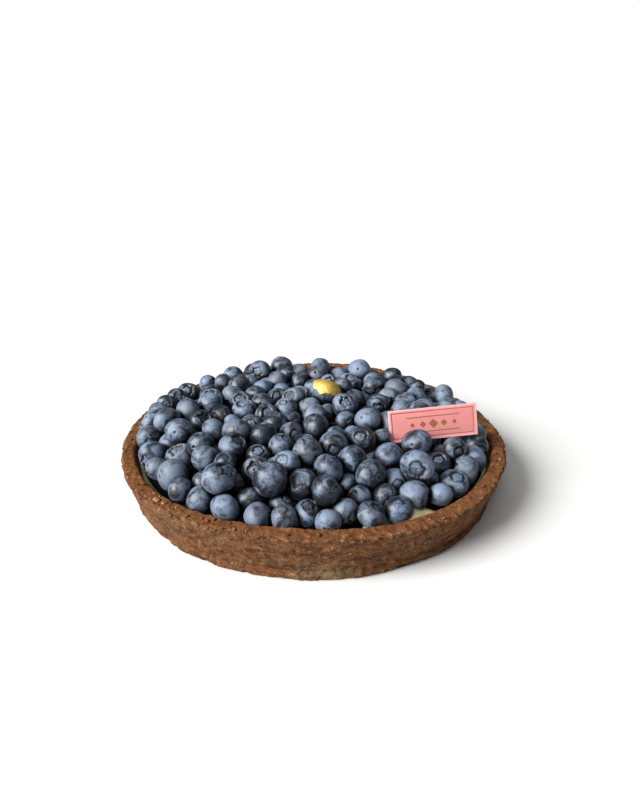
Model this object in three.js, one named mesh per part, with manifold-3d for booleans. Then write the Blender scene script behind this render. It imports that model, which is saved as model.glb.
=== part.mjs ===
// A blueberry tart: a cocoa shortcrust shell filled with pastry cream and heaped with blueberries,
// with a pink chocolate plaque tucked into the heap and a flake of gold leaf on one berry.
// Millimetres, +Z up, the front at -Y. The origin is the centre of the shell's underside.

import * as THREE from "three";
import { mergeVertices } from "three/addons/utils/BufferGeometryUtils.js";
import Module from "manifold-3d";

// Driving dimensions of the shell
const RIM_RADIUS = 115;
const BASE_RADIUS = 108.7;
const WALL_HEIGHT = 27;
const RIM_WIDTH = 7.7; // at the sides
const HOLLOW_SHIFT = 2.2; // how far the hollow and all in it lie behind the middle
const FLOOR_THICKNESS = 5;
const INNER_DRAFT = 5; // how much narrower the hollow is at its floor than at the rim
const EDGE_ROUNDING = 1.5;
const CRAG_DEPTH = 0.6; // how far the baked wall strays from a true cone
const RIM_BACK_RISE = 1.5; // how much higher the rim is at the back than at the sides
const RIM_SADDLE = 1.7; // how much higher it is at the front and the back
const RIM_WAVE = 0.95;

// Driving dimensions of the filling
const CREAM_LEVEL = 20;
const CREAM_RIPPLE = 0.5;
const FIT_GAP = 0.3; // clearance between neighbouring pieces

// The berries: how many lie in each layer, how far out it spreads and where it starts to settle
const LAYERS = [
  { count: 160, spread: 101, height: 28 },
  { count: 98, spread: 84, height: 41 },
  { count: 6, spread: 36, height: 52 },
];
const SMALLEST_BERRY = 6; // radii
const LARGEST_BERRY = 9.1;
const FACET_SCALE = 1.07; // a ball of few facets lies partly inside its sphere
const BERRY_FLATNESS = 0.88; // height through the crown over the width
const HEAP_RADIUS = RIM_RADIUS - RIM_WIDTH - 1;
const HEAP_SEED = 5;
const SETTLING_STEPS = 160;
const SETTLING_FALL = 0.3; // how far every berry drops before each push apart
const CONTACT_SHARE = 0.955; // distance of two touching berries, as a share of their radii together
const SINK_SHARE = 0.8; // height of a berry's middle over the cream, as a share of its radius
const BACK_SLUMP = 0.15; // how much of its height the heap loses towards the back
const GILDED_BERRY = { x: 7.5, y: 20.6, z: 43.5, radius: 10 };
const BERRY_BEFORE_PLAQUE = { x: 57, y: -39, z: 39, radius: 8.5 };
const BERRY_BELOW_PLAQUE = { x: 40, y: -50, z: 34, radius: 8.4 };

// The core that carries the berries, which berries are modelled on it, and the pegs under high ones
const CORE_RADIUS = 95.5;
const CORE_TOP = 37.5;
const CORE_EDGE_TOP = 24.5;
const PEG_RADIUS = 2.5;
const LEAST_SHOWN = 0.4; // share of a berry's skin that has to be open to view

// The plaque: its lower edge's middle, then how it leans back, turns and rolls
const PLAQUE_LENGTH = 50;
const PLAQUE_HEIGHT = 18;
const PLAQUE_THICKNESS = 2.4;
const PLAQUE_AT = { x: 68.6, y: -28.5, z: 34.5 };
const PLAQUE_LEAN = 18; // degrees from upright
const PLAQUE_TURN = 2;
const PLAQUE_ROLL = 5;
const PLAQUE_BEVEL = 0.4;
const FRAME_INSET = 2.1; // the groove that frames the plaque's face
const FRAME_WIDTH = 0.7;
const FRAME_DEPTH = 0.4;
const BERRY_TO_PLAQUE = 0.4;
const SIGHT_SLOPE = 0.49; // the look down at the plaque's face that berries before it leave free

// The gold leaf
const LEAF_THICKNESS = 0.7;
const LEAF_GAP = 0.7; // keeps the flake's flat facets off the berry's corners
const LEAF_WAVE = 0.35; // how far the flake lifts off the berry towards its edge
const LEAF_REACH = 84; // degrees from the middle of the flake to its edge
const LEAF_FACING = new THREE.Vector3(0.37, 0.06, 0.93).normalize();

const HOLLOW_RADIUS = RIM_RADIUS - RIM_WIDTH;
const HEAP_BOTTOM = CREAM_LEVEL + FIT_GAP;

const wasm = await Module();
wasm.setup();

const finishes = {
  crust: new THREE.MeshStandardMaterial({ color: "#80553a", roughness: 0.95 }),
  cream: new THREE.MeshStandardMaterial({ color: "#e9e2ab", roughness: 0.45 }),
  berry: new THREE.MeshStandardMaterial({ color: "#47587a", roughness: 0.6 }),
  plaque: new THREE.MeshStandardMaterial({ color: "#ef9a9f", roughness: 0.4 }),
  gold: new THREE.MeshStandardMaterial({ color: "#e6bd4c", roughness: 0.3, metalness: 1 }),
};

// A closed three.js geometry as a solid that can be joined and cut
function solidOf(geometry) {
  const bare = geometry.clone();
  bare.deleteAttribute("normal");
  bare.deleteAttribute("uv");
  const merged = mergeVertices(bare, 1e-3);
  return new wasm.Manifold(
    new wasm.Mesh({
      numProp: 3,
      vertProperties: merged.attributes.position.array,
      triVerts: new Uint32Array(merged.index.array),
    }),
  );
}

function geometryOf(solid) {
  const mesh = solid.getMesh();
  return new THREE.BufferGeometry()
    .setAttribute("position", new THREE.BufferAttribute(mesh.vertProperties, 3))
    .setIndex(new THREE.BufferAttribute(mesh.triVerts, 1));
}

function namedMesh(name, geometry, finish) {
  const mesh = new THREE.Mesh(geometry, finish);
  mesh.name = name;
  return mesh;
}

// A lathed solid stands on Y in three.js; this turns it up to Z.
function latheUp(profile, sides) {
  return new THREE.LatheGeometry(profile, sides).rotateX(Math.PI / 2);
}

// Moves every vertex of a geometry by a rule that is given the point and changes it.
function reshape(geometry, rule) {
  const place = geometry.attributes.position;
  const point = new THREE.Vector3();
  for (let i = 0; i < place.count; i += 1) {
    point.fromBufferAttribute(place, i);
    rule(point);
    place.setXYZ(i, point.x, point.y, point.z);
  }
  return geometry;
}

// Repeatable draws from 0 up to 1
function drawsFrom(seed) {
  let state = seed;
  return () => {
    state = (state * 1664525 + 1013904223) % 4294967296;
    return state / 4294967296;
  };
}

// The uneven, hand-pressed wall as a sum of waves round the tart
function cragAt(turn, height) {
  const broad = Math.sin(5 * turn + 0.7) + Math.sin(9 * turn + 2.1 + 0.09 * height);
  const fine = Math.sin(19 * turn + 0.35 * height) + Math.sin(31 * turn - 0.5 * height + 1.3);
  return CRAG_DEPTH * (0.3 * broad + 0.3 * fine);
}

// How far the rim rises and falls: highest at the back, lowest at the sides
function rimWaveAt(turn) {
  const broad = RIM_BACK_RISE * Math.sin(turn) - RIM_SADDLE * Math.cos(2 * turn);
  const fine = 0.12 * Math.sin(11 * turn) + 0.08 * Math.sin(29 * turn);
  return broad + RIM_WAVE * (Math.sin(4 * turn + 2.6) + fine);
}

// Quarter round from one direction to the other, for the shell's edges
function roundedCorner(centre, radius, fromTurn, toTurn, steps) {
  return Array.from({ length: steps + 1 }, (_, i) => {
    const turn = fromTurn + ((toTurn - fromTurn) * i) / steps;
    return new THREE.Vector2(centre.x + radius * Math.cos(turn), centre.y + radius * Math.sin(turn));
  });
}

function makeCrust() {
  const sides = 72;
  const wallRows = 4;
  const round = EDGE_ROUNDING;
  const outerAt = (height) => THREE.MathUtils.lerp(BASE_RADIUS, RIM_RADIUS, height / WALL_HEIGHT);
  const wall = Array.from({ length: wallRows }, (_, i) => {
    const height = THREE.MathUtils.lerp(round, WALL_HEIGHT - round, (i + 1) / (wallRows + 1));
    return new THREE.Vector2(outerAt(height), height);
  });
  const outerEdge = new THREE.Vector2(RIM_RADIUS - round, WALL_HEIGHT - round);
  const innerEdge = new THREE.Vector2(HOLLOW_RADIUS + round, WALL_HEIGHT - round);
  const profile = [
    new THREE.Vector2(0, 0),
    new THREE.Vector2(BASE_RADIUS - round, 0),
    new THREE.Vector2(outerAt(round), round),
    ...wall,
    ...roundedCorner(outerEdge, round, 0, Math.PI / 2, 2),
    ...roundedCorner(innerEdge, round, Math.PI / 2, Math.PI, 2),
    new THREE.Vector2(HOLLOW_RADIUS - INNER_DRAFT, FLOOR_THICKNESS),
    new THREE.Vector2(0, FLOOR_THICKNESS),
  ];
  const baked = reshape(latheUp(profile, sides), (point) => {
    const reach = Math.hypot(point.x, point.y);
    const turn = Math.atan2(point.y, point.x);
    const isWall = point.z > 0.1 && reach > outerAt(point.z) - 2;
    const isHollow = point.z > FLOOR_THICKNESS - 0.1 && reach < HOLLOW_RADIUS + round + 0.1;
    if (isWall) {
      const moved = 1 + cragAt(turn, point.z) / reach;
      point.x *= moved;
      point.y *= moved;
    }
    if (isHollow) {
      point.y += HOLLOW_SHIFT;
    }
    point.z += rimWaveAt(turn) * THREE.MathUtils.smoothstep(point.z, 12, WALL_HEIGHT);
  });
  baked.computeBoundingBox();
  const middle = baked.boundingBox.getCenter(new THREE.Vector3());
  return baked.translate(-middle.x, -middle.y, 0);
}

// The hollow's radius at a height
function hollowRadiusAt(height) {
  const share = (height - FLOOR_THICKNESS) / (WALL_HEIGHT - EDGE_ROUNDING - FLOOR_THICKNESS);
  return THREE.MathUtils.lerp(HOLLOW_RADIUS - INNER_DRAFT, HOLLOW_RADIUS, share);
}

// The cream fills the shell, flat under the heap and rippled where it shows beside the crust.
function makeCream() {
  const sides = 56;
  const bottom = FLOOR_THICKNESS + FIT_GAP;
  const wallGap = 4 * FIT_GAP;
  const profile = [
    new THREE.Vector2(0, bottom),
    new THREE.Vector2(hollowRadiusAt(bottom) - wallGap, bottom),
    new THREE.Vector2(hollowRadiusAt(CREAM_LEVEL) - wallGap, CREAM_LEVEL),
    new THREE.Vector2(CORE_RADIUS + 3, CREAM_LEVEL),
    new THREE.Vector2(0, CREAM_LEVEL),
  ];
  const spread = reshape(latheUp(profile, sides), (point) => {
    const reach = Math.hypot(point.x, point.y);
    if (point.z > CREAM_LEVEL - 0.1 && reach > CORE_RADIUS) {
      const turn = Math.atan2(point.y, point.x);
      point.z -= CREAM_RIPPLE * (0.5 + 0.5 * Math.sin(13 * turn) * Math.sin(6 * turn + 1));
    }
  });
  return spread.translate(0, HOLLOW_SHIFT, 0);
}

// The plaque's own frame: x along it, y through it to the back, z up it from its lower edge
function plaqueMatrix() {
  const place = new THREE.Matrix4().makeTranslation(PLAQUE_AT.x, PLAQUE_AT.y, PLAQUE_AT.z);
  const turn = new THREE.Matrix4().makeRotationZ(THREE.MathUtils.degToRad(PLAQUE_TURN));
  const lean = new THREE.Matrix4().makeRotationX(THREE.MathUtils.degToRad(-PLAQUE_LEAN));
  const roll = new THREE.Matrix4().makeRotationY(THREE.MathUtils.degToRad(-PLAQUE_ROLL));
  return place.multiply(turn).multiply(lean).multiply(roll);
}

function rectangle(width, height) {
  return new THREE.Shape([
    new THREE.Vector2(-width / 2, -height / 2),
    new THREE.Vector2(width / 2, -height / 2),
    new THREE.Vector2(width / 2, height / 2),
    new THREE.Vector2(-width / 2, height / 2),
  ]);
}

// A slab in the plaque's frame, from its front at a depth towards the back
function plaqueSlab(width, height, front, back) {
  const settings = { depth: back - front, bevelEnabled: false };
  const slab = new THREE.ExtrudeGeometry(rectangle(width, height), settings);
  return slab.rotateX(Math.PI / 2).translate(0, back, PLAQUE_HEIGHT / 2);
}

function makePlaque() {
  const bevelled = new THREE.ExtrudeGeometry(
    rectangle(PLAQUE_LENGTH - 2 * PLAQUE_BEVEL, PLAQUE_HEIGHT - 2 * PLAQUE_BEVEL),
    {
      depth: PLAQUE_THICKNESS - 2 * PLAQUE_BEVEL,
      bevelThickness: PLAQUE_BEVEL,
      bevelSize: PLAQUE_BEVEL,
      bevelSegments: 1,
    },
  );
  bevelled.translate(0, 0, PLAQUE_BEVEL).rotateX(Math.PI / 2);
  bevelled.translate(0, PLAQUE_THICKNESS / 2, PLAQUE_HEIGHT / 2);
  const front = -PLAQUE_THICKNESS / 2;
  const wide = PLAQUE_LENGTH - 2 * FRAME_INSET;
  const high = PLAQUE_HEIGHT - 2 * FRAME_INSET;
  const outer = solidOf(plaqueSlab(wide, high, front - 1, front + FRAME_DEPTH));
  const inner = solidOf(plaqueSlab(wide - 2 * FRAME_WIDTH, high - 2 * FRAME_WIDTH, front - 2, front + 1));
  const framed = solidOf(bevelled).subtract(outer.subtract(inner));
  return geometryOf(framed).applyMatrix4(plaqueMatrix());
}

// The berries start out in flat sunflower spirals, one over another.
function scatterLayers(draw) {
  const goldenCos = -0.7373688780783197;
  const goldenSin = 0.6754902942615238;
  const berries = [];
  for (const layer of LAYERS) {
    let dirX = 1;
    let dirY = 0;
    for (let i = 0; i < layer.count; i += 1) {
      const radius = SMALLEST_BERRY + (LARGEST_BERRY - SMALLEST_BERRY) * (0.5 * draw() + 0.5 * draw());
      const reach = layer.spread * Math.sqrt((i + 0.5) / layer.count);
      const x = reach * dirX + 3 * (draw() - 0.5);
      const y = reach * dirY + 3 * (draw() - 0.5) + HOLLOW_SHIFT;
      berries.push({ x, y, z: layer.height, radius });
      [dirX, dirY] = [dirX * goldenCos - dirY * goldenSin, dirX * goldenSin + dirY * goldenCos];
    }
  }
  return berries;
}

// A berry with a set place takes over the nearest one of the second layer.
function pinBerry(berries, pin) {
  let nearest = null;
  let least = Infinity;
  for (const berry of berries.slice(LAYERS[0].count, LAYERS[0].count + LAYERS[1].count)) {
    const dx = berry.x - pin.x;
    const dy = berry.y - pin.y;
    const away = dx * dx + dy * dy;
    if (berry.pin || away >= least) continue;
    nearest = berry;
    least = away;
  }
  Object.assign(nearest, pin, { pin });
}

// Pairs of berries near enough to touch within the next few steps
function nearPairs(berries) {
  const pairs = [];
  for (let i = 0; i < berries.length; i += 1) {
    for (let j = i + 1; j < berries.length; j += 1) {
      const a = berries[i];
      const b = berries[j];
      const dx = b.x - a.x;
      const dy = b.y - a.y;
      const dz = b.z - a.z;
      const near = a.radius + b.radius + 5;
      if (dx * dx + dy * dy + dz * dz < near * near) pairs.push([a, b]);
    }
  }
  return pairs;
}

function pushApart(a, b) {
  const dx = b.x - a.x;
  const dy = b.y - a.y;
  const dz = b.z - a.z;
  const distance = Math.sqrt(dx * dx + dy * dy + dz * dz);
  const needed = CONTACT_SHARE * (a.radius + b.radius);
  if (distance >= needed) return;
  const push = (0.5 * (needed - distance)) / distance;
  a.x -= push * dx;
  a.y -= push * dy;
  a.z -= push * dz;
  b.x += push * dx;
  b.y += push * dy;
  b.z += push * dz;
}

// Keeps a berry on the cream and inside the crust.
function keepInShell(berry) {
  const lowest = CREAM_LEVEL + SINK_SHARE * berry.radius;
  if (berry.z < lowest) berry.z = lowest;
  const back = berry.y - HOLLOW_SHIFT;
  const reach = Math.sqrt(berry.x * berry.x + back * back);
  const limit = HEAP_RADIUS - berry.radius;
  if (reach > limit) {
    berry.x *= limit / reach;
    berry.y = HOLLOW_SHIFT + back * (limit / reach);
  }
}

// Moves a berry off the plaque: down if it lies under the lower edge, else to the front or the back.
function keepOffPlaque(berry, toPlaque, fromPlaque) {
  const local = new THREE.Vector3(berry.x, berry.y, berry.z).applyMatrix4(toPlaque);
  const outX = Math.max(Math.abs(local.x) - PLAQUE_LENGTH / 2, 0);
  const outY = Math.max(Math.abs(local.y) - PLAQUE_THICKNESS / 2, 0);
  const outZ = Math.max(Math.abs(local.z - PLAQUE_HEIGHT / 2) - PLAQUE_HEIGHT / 2, 0);
  const distance = Math.sqrt(outX * outX + outY * outY + outZ * outZ);
  const lacking = berry.radius + BERRY_TO_PLAQUE - distance;
  if (lacking <= 0) return;
  if (local.z < 0 && outZ >= outY) {
    local.z -= lacking;
  } else {
    local.y += local.y > 0 ? lacking : -lacking;
  }
  local.applyMatrix4(fromPlaque);
  Object.assign(berry, { x: local.x, y: local.y, z: local.z });
}

// Lowers a berry before the plaque until it no longer hides the plaque's face from the front.
function keepPlaqueClear(berry) {
  const dx = berry.x - PLAQUE_AT.x;
  const before = PLAQUE_AT.y - berry.y;
  if (before < 0 || Math.abs(dx) > 0.5 * PLAQUE_LENGTH + 0.6 * berry.radius) return;
  const lowerEdge = PLAQUE_AT.z + dx * Math.tan(THREE.MathUtils.degToRad(PLAQUE_ROLL));
  const clearance = berry.radius * Math.sqrt(1 + SIGHT_SLOPE * SIGHT_SLOPE);
  const highest = lowerEdge + SIGHT_SLOPE * before - clearance;
  if (berry.z > highest) berry.z = highest;
}

// Lowers the heap towards the back.
function slump(berry) {
  const share = Math.min(Math.max((berry.y - 5) / 60, 0), 1);
  berry.z -= BACK_SLUMP * share * (berry.z - CREAM_LEVEL - 6);
}

// Lets the berries settle into a heap: again and again all drop a little and push one another apart.
function settleBerries(draw) {
  const berries = scatterLayers(draw);
  pinBerry(berries, GILDED_BERRY);
  pinBerry(berries, BERRY_BEFORE_PLAQUE);
  pinBerry(berries, BERRY_BELOW_PLAQUE);
  const fromPlaque = plaqueMatrix();
  const toPlaque = plaqueMatrix().invert();
  let pairs = [];
  for (let step = 0; step < SETTLING_STEPS; step += 1) {
    if (step % 6 === 0) pairs = nearPairs(berries);
    for (const berry of berries) berry.z -= SETTLING_FALL;
    for (const [a, b] of pairs) pushApart(a, b);
    for (const berry of berries) {
      keepPlaqueClear(berry);
      keepInShell(berry);
      keepOffPlaque(berry, toPlaque, fromPlaque);
      if (berry.pin) Object.assign(berry, berry.pin);
    }
  }
  berries.filter((berry) => !berry.pin).forEach(slump);
  return berries;
}

// The direction of a berry's crown: any, except steeply down
function crownDirection(draw) {
  const tilt = Math.acos(1 - 1.7 * draw());
  const turn = 2 * Math.PI * draw();
  const level = Math.sin(tilt);
  return new THREE.Vector3(level * Math.cos(turn), level * Math.sin(turn), Math.cos(tilt));
}

function middleOf(berry) {
  return new THREE.Vector3(berry.x, berry.y, berry.z);
}

// A berry's place and turn: its own z is the crown's direction.
function berryMatrix(berry) {
  const turned = new THREE.Quaternion().setFromUnitVectors(new THREE.Vector3(0, 0, 1), berry.crown);
  return new THREE.Matrix4().compose(middleOf(berry), turned, new THREE.Vector3(1, 1, 1));
}

function makeBerry(berry) {
  const ball = new THREE.SphereGeometry(1, 6, 4).rotateX(Math.PI / 2);
  const size = FACET_SCALE * berry.radius;
  ball.scale(size, size, size * BERRY_FLATNESS);
  return ball.applyMatrix4(berryMatrix(berry));
}

// Directions spread evenly over the sphere
function evenDirections(count) {
  return Array.from({ length: count }, (_, i) => {
    const height = 1 - (2 * (i + 0.5)) / count;
    const turn = i * Math.PI * (3 - Math.sqrt(5));
    const reach = Math.sqrt(1 - height * height);
    return new THREE.Vector3(reach * Math.cos(turn), reach * Math.sin(turn), height);
  });
}

// Share of a berry's surface that can be seen from some direction above the rim
function shownShare(berry, berries) {
  const around = evenDirections(24);
  const looks = evenDirections(24).filter((look) => look.z > 0.2);
  const near = berries.filter((other) => other !== berry && other.z > berry.z - 12);
  const seen = around.filter((out) => {
    const start = middleOf(berry).addScaledVector(out, berry.radius);
    return looks.some((look) => look.dot(out) > 0.1 && near.every((other) => isClear(start, look, other)));
  });
  return seen.length / around.length;
}

// Whether a line of sight from a point misses a berry
function isClear(start, look, berry) {
  const offset = middleOf(berry).sub(start);
  const along = offset.dot(look);
  const squared = offset.lengthSq();
  const radius = 0.97 * berry.radius;
  if (squared < radius * radius) return false;
  return along < 0 || squared - along * along > radius * radius;
}

// Height of the core's domed top
function coreTopAt(place) {
  const share = Math.min(Math.hypot(place.x, place.y - HOLLOW_SHIFT) / CORE_RADIUS, 1);
  return CORE_TOP + (CORE_EDGE_TOP - CORE_TOP) * share ** 5;
}

// A peg that joins a high berry to the core
function makePeg(berry) {
  const foot = coreTopAt(berry) - 2;
  const peg = new THREE.CylinderGeometry(PEG_RADIUS, PEG_RADIUS, berry.z - foot, 4);
  return peg.rotateX(Math.PI / 2).translate(berry.x, berry.y, (berry.z + foot) / 2);
}

function makeHeapCore() {
  const rows = 4;
  const crown = Array.from({ length: rows + 1 }, (_, i) => {
    const reach = CORE_RADIUS * (1 - i / rows);
    return new THREE.Vector2(reach, coreTopAt({ x: reach, y: HOLLOW_SHIFT }));
  });
  const foot = [new THREE.Vector2(0, HEAP_BOTTOM), new THREE.Vector2(CORE_RADIUS, HEAP_BOTTOM)];
  return latheUp([...foot, ...crown], 28).translate(0, HOLLOW_SHIFT, 0);
}

// The space the heap may fill: over the cream and within the crust
function makeHeapRoom() {
  const reach = HEAP_RADIUS - FIT_GAP;
  const room = [
    new THREE.Vector2(0, HEAP_BOTTOM),
    new THREE.Vector2(reach, HEAP_BOTTOM),
    new THREE.Vector2(reach, 90),
    new THREE.Vector2(0, 90),
  ];
  return latheUp(room, 48).translate(0, HOLLOW_SHIFT, 0);
}

// The plaque's room in the heap
function makePlaqueRoom() {
  const front = -PLAQUE_THICKNESS / 2 - BERRY_TO_PLAQUE;
  const wide = PLAQUE_LENGTH + 2 * BERRY_TO_PLAQUE;
  const high = PLAQUE_HEIGHT + 2 * BERRY_TO_PLAQUE;
  return plaqueSlab(wide, high, front, -front).applyMatrix4(plaqueMatrix());
}

function makeHeap(berries, gilded) {
  const shown = berries.filter((berry) => shownShare(berry, berries) >= LEAST_SHOWN);
  const pegged = shown.filter((berry) => berry.z - 0.8 * berry.radius > coreTopAt(berry));
  const parts = [makeHeapCore(), ...shown.map(makeBerry), ...pegged.map(makePeg)].map(solidOf);
  const heap = wasm.Manifold.union(parts).intersect(solidOf(makeHeapRoom()));
  const cuts = wasm.Manifold.union([makePlaqueRoom(), makeLeaf(gilded, FIT_GAP)].map(solidOf));
  return geometryOf(heap.subtract(cuts));
}

// How ragged the flake is: its reach at a turn round its middle, as a share of the whole
function leafEdgeAt(turn) {
  const broad = 0.05 * Math.sin(3 * turn + 0.6) + 0.05 * Math.sin(7 * turn + 2);
  return 0.92 + broad - 0.04 * Math.max(0, Math.sin(5 * turn));
}

// A point of the leaf: its share of the way to the edge, its turn and its lift over the berry
function leafPoint(berry, share, turn, lift) {
  const side = new THREE.Vector3(0, 0, 1).cross(LEAF_FACING).normalize();
  const other = LEAF_FACING.clone().cross(side);
  const angle = THREE.MathUtils.degToRad(LEAF_REACH) * share * leafEdgeAt(turn);
  const out = LEAF_FACING.clone().multiplyScalar(Math.cos(angle));
  out.addScaledVector(side, Math.sin(angle) * Math.cos(turn));
  out.addScaledVector(other, Math.sin(angle) * Math.sin(turn));
  const alongCrown = out.dot(berry.crown);
  const across = Math.sqrt(Math.max(0, 1 - alongCrown * alongCrown));
  const flat = alongCrown / BERRY_FLATNESS;
  const reach = (FACET_SCALE * berry.radius) / Math.sqrt(across * across + flat * flat);
  const wave = LEAF_WAVE * (1 + Math.sin(9 * share + 3 * turn) * Math.cos(4 * turn));
  return out.multiplyScalar(reach + wave * share + lift).add(middleOf(berry));
}

// The flake is a thin skin over the berry, both of its faces cut into the same triangles.
function makeLeaf(berry, grown = 0) {
  const rings = 4;
  const spokes = 16;
  const points = [];
  for (const lift of [LEAF_GAP - grown, LEAF_GAP + LEAF_THICKNESS + grown]) {
    points.push(leafPoint(berry, 0, 0, lift));
    for (let ring = 1; ring <= rings; ring += 1) {
      for (let spoke = 0; spoke < spokes; spoke += 1) {
        const share = ring / rings + grown / 10;
        points.push(leafPoint(berry, share, (2 * Math.PI * spoke) / spokes, lift));
      }
    }
  }
  const faceSize = 1 + rings * spokes;
  const at = (ring, spoke) => 1 + (ring - 1) * spokes + (spoke % spokes);
  const skin = [];
  for (let spoke = 0; spoke < spokes; spoke += 1) {
    skin.push([0, at(1, spoke), at(1, spoke + 1)]);
    for (let ring = 1; ring < rings; ring += 1) {
      skin.push([at(ring, spoke), at(ring + 1, spoke), at(ring + 1, spoke + 1)]);
      skin.push([at(ring, spoke), at(ring + 1, spoke + 1), at(ring, spoke + 1)]);
    }
  }
  const faces = [];
  for (const [a, b, c] of skin) {
    faces.push(a, c, b, a + faceSize, b + faceSize, c + faceSize);
  }
  for (let spoke = 0; spoke < spokes; spoke += 1) {
    const a = at(rings, spoke);
    const b = at(rings, spoke + 1);
    faces.push(a, b, a + faceSize, b, b + faceSize, a + faceSize);
  }
  const leaf = new THREE.BufferGeometry().setFromPoints(points);
  return leaf.setIndex(faces);
}

const draw = drawsFrom(HEAP_SEED);
const berries = settleBerries(draw);
for (const berry of berries) berry.crown = crownDirection(draw);

const gilded = berries.find((berry) => berry.pin === GILDED_BERRY);

const tart = new THREE.Group();
tart.add(namedMesh("crust_shell", makeCrust(), finishes.crust));
tart.add(namedMesh("pastry_cream", makeCream(), finishes.cream));
tart.add(namedMesh("blueberry_heap", makeHeap(berries, gilded), finishes.berry));
tart.add(namedMesh("gold_leaf", makeLeaf(gilded), finishes.gold));
tart.add(namedMesh("chocolate_plaque", makePlaque(), finishes.plaque));
export default tart;
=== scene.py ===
import math

import bpy
import numpy as np
from bpy.props import FloatProperty, FloatVectorProperty, IntProperty, PointerProperty
from mathutils import Matrix, Vector, noise
from mathutils.bvhtree import BVHTree


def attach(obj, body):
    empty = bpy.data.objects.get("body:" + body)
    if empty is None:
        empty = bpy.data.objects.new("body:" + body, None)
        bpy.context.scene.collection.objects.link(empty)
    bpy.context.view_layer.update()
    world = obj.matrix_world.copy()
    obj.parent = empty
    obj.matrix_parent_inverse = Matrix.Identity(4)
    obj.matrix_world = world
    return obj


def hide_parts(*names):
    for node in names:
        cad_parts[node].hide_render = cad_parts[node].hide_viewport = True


bl_info = {
    "name": "Blueberry Tart",
    "version": (1, 0, 0),
    "blender": (4, 5, 0),
    "location": "3D View > Sidebar > Tart",
    "description": "Dresses a cocoa shortcrust tart with cream, blueberries, a plaque and gold leaf",
    "category": "Object",
}

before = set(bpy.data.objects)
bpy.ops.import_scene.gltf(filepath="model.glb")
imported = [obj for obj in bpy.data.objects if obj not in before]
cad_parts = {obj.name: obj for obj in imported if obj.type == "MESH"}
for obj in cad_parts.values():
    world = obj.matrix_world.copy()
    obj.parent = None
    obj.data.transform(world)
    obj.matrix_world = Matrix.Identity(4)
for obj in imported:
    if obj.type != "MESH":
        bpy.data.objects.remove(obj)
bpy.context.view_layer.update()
MM = 0.001

# The solids' own sizes, in millimetres, which the pieces are fitted to
RIM_RADIUS = 115.0
BASE_RADIUS = 108.7
WALL_HEIGHT = 27.0
RIM_WIDTH = 7.7
HOLLOW_SHIFT = 2.2
FLOOR_THICKNESS = 5.0
INNER_DRAFT = 5.0
EDGE_ROUNDING = 1.5
HOLLOW_RADIUS = RIM_RADIUS - RIM_WIDTH
CREAM_LEVEL = 20.0
CREAM_BOTTOM = FLOOR_THICKNESS + 0.3

# How the heap settles: the same numbers and the same order as in the solids' source
LAYERS = ((160, 101.0, 28.0), (98, 84.0, 41.0), (6, 36.0, 52.0))
SMALLEST_BERRY = 6.0
LARGEST_BERRY = 9.1
HEAP_RADIUS = HOLLOW_RADIUS - 1.0
HEAP_SEED = 5
SETTLING_STEPS = 160
SETTLING_FALL = 0.3
CONTACT_SHARE = 0.955
SINK_SHARE = 0.8
BACK_SLUMP = 0.15
SET_BERRIES = {
    "gilded": (7.5, 20.6, 43.5, 10.0),
    "before_plaque": (57.0, -39.0, 39.0, 8.5),
    "below_plaque": (40.0, -50.0, 34.0, 8.4),
}
GOLDEN_COS = -0.7373688780783197
GOLDEN_SIN = 0.6754902942615238

LEAF_FACING = (0.37, 0.06, 0.93)
LEAF_REACH = 84  # degrees from the leaf's middle to its edge
GILDED_SINK = -0.9  # how much deeper the gilded berry lies than in the solids
BEFORE_PLAQUE_SINK = -2.3
GILDED_CROWN = (-0.30, -0.36, -0.88)  # turned away under the leaf
BEFORE_PLAQUE_CROWN = (0.5, 0.8, -0.3)
GILDED_TINT = (0.75, 0.4, 0.2)  # bloom, greyness and hue
BEFORE_PLAQUE_TINT = (0.55, 0.2, 0.5)
BLOOM_LEVELS = (0.33, 0.53, 0.70, 0.84)  # how much bloom berries have, and how often
BLOOM_CHANCES = (0.15, 0.33, 0.35, 0.17)
TURNED_CROWNS = 0.30  # the share of berries whose crowns are turned to the front
HUGGING_REACH = 89.0  # berries farther out than this are moved up to the crust
HUGGING_CONTACT = 0.84  # how near two berries may come there, as a share of their radii
GAP_BERRIES = (6.8, 6.0, 5.2, 4.6)  # the radii that are tried in the heap's gaps
GAP_TRIES = 2500
LEFT_LIFT = 4.6  # how far the heap swells up and outwards at the back left
LEFT_OUTWARDS = 1.6
HEAP_DRAWS = 12  # seeds of the random draws
CRUMB_DRAWS = 31

PLAQUE_LENGTH = 50.0
PLAQUE_HEIGHT = 18.0
PLAQUE_THICKNESS = 2.4
PLAQUE_AT = (68.6, -28.5, 34.5)
PLAQUE_LEAN = 18.0
PLAQUE_TURN = 2.0
PLAQUE_ROLL = 5.0
BERRY_TO_PLAQUE = 0.4
SIGHT_SLOPE = 0.49  # how steeply the camera looks down on the plaque

# The camera that the photograph was measured to have, for a frame of 640 by 808
FRAME_LONG_SIDE = 808
FOCAL_PIXELS = 563.5
CAMERA_DISTANCE = 350.0
CAMERA_ELEVATION = 25.7
PIXELS_LEFT_OF_MIDDLE = 6.6
PIXELS_BELOW_MIDDLE = 24.6


def linear(code):
    """The linear colour of an sRGB hex value."""
    parts = [int(code[i : i + 2], 16) / 255 for i in (1, 3, 5)]
    return tuple(p / 12.92 if p <= 0.04045 else ((p + 0.055) / 1.055) ** 2.4 for p in parts)


def colour_property(name, code, description):
    return FloatVectorProperty(
        name=name, description=description, subtype="COLOR", size=3, min=0, max=1, default=linear(code)
    )


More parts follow.
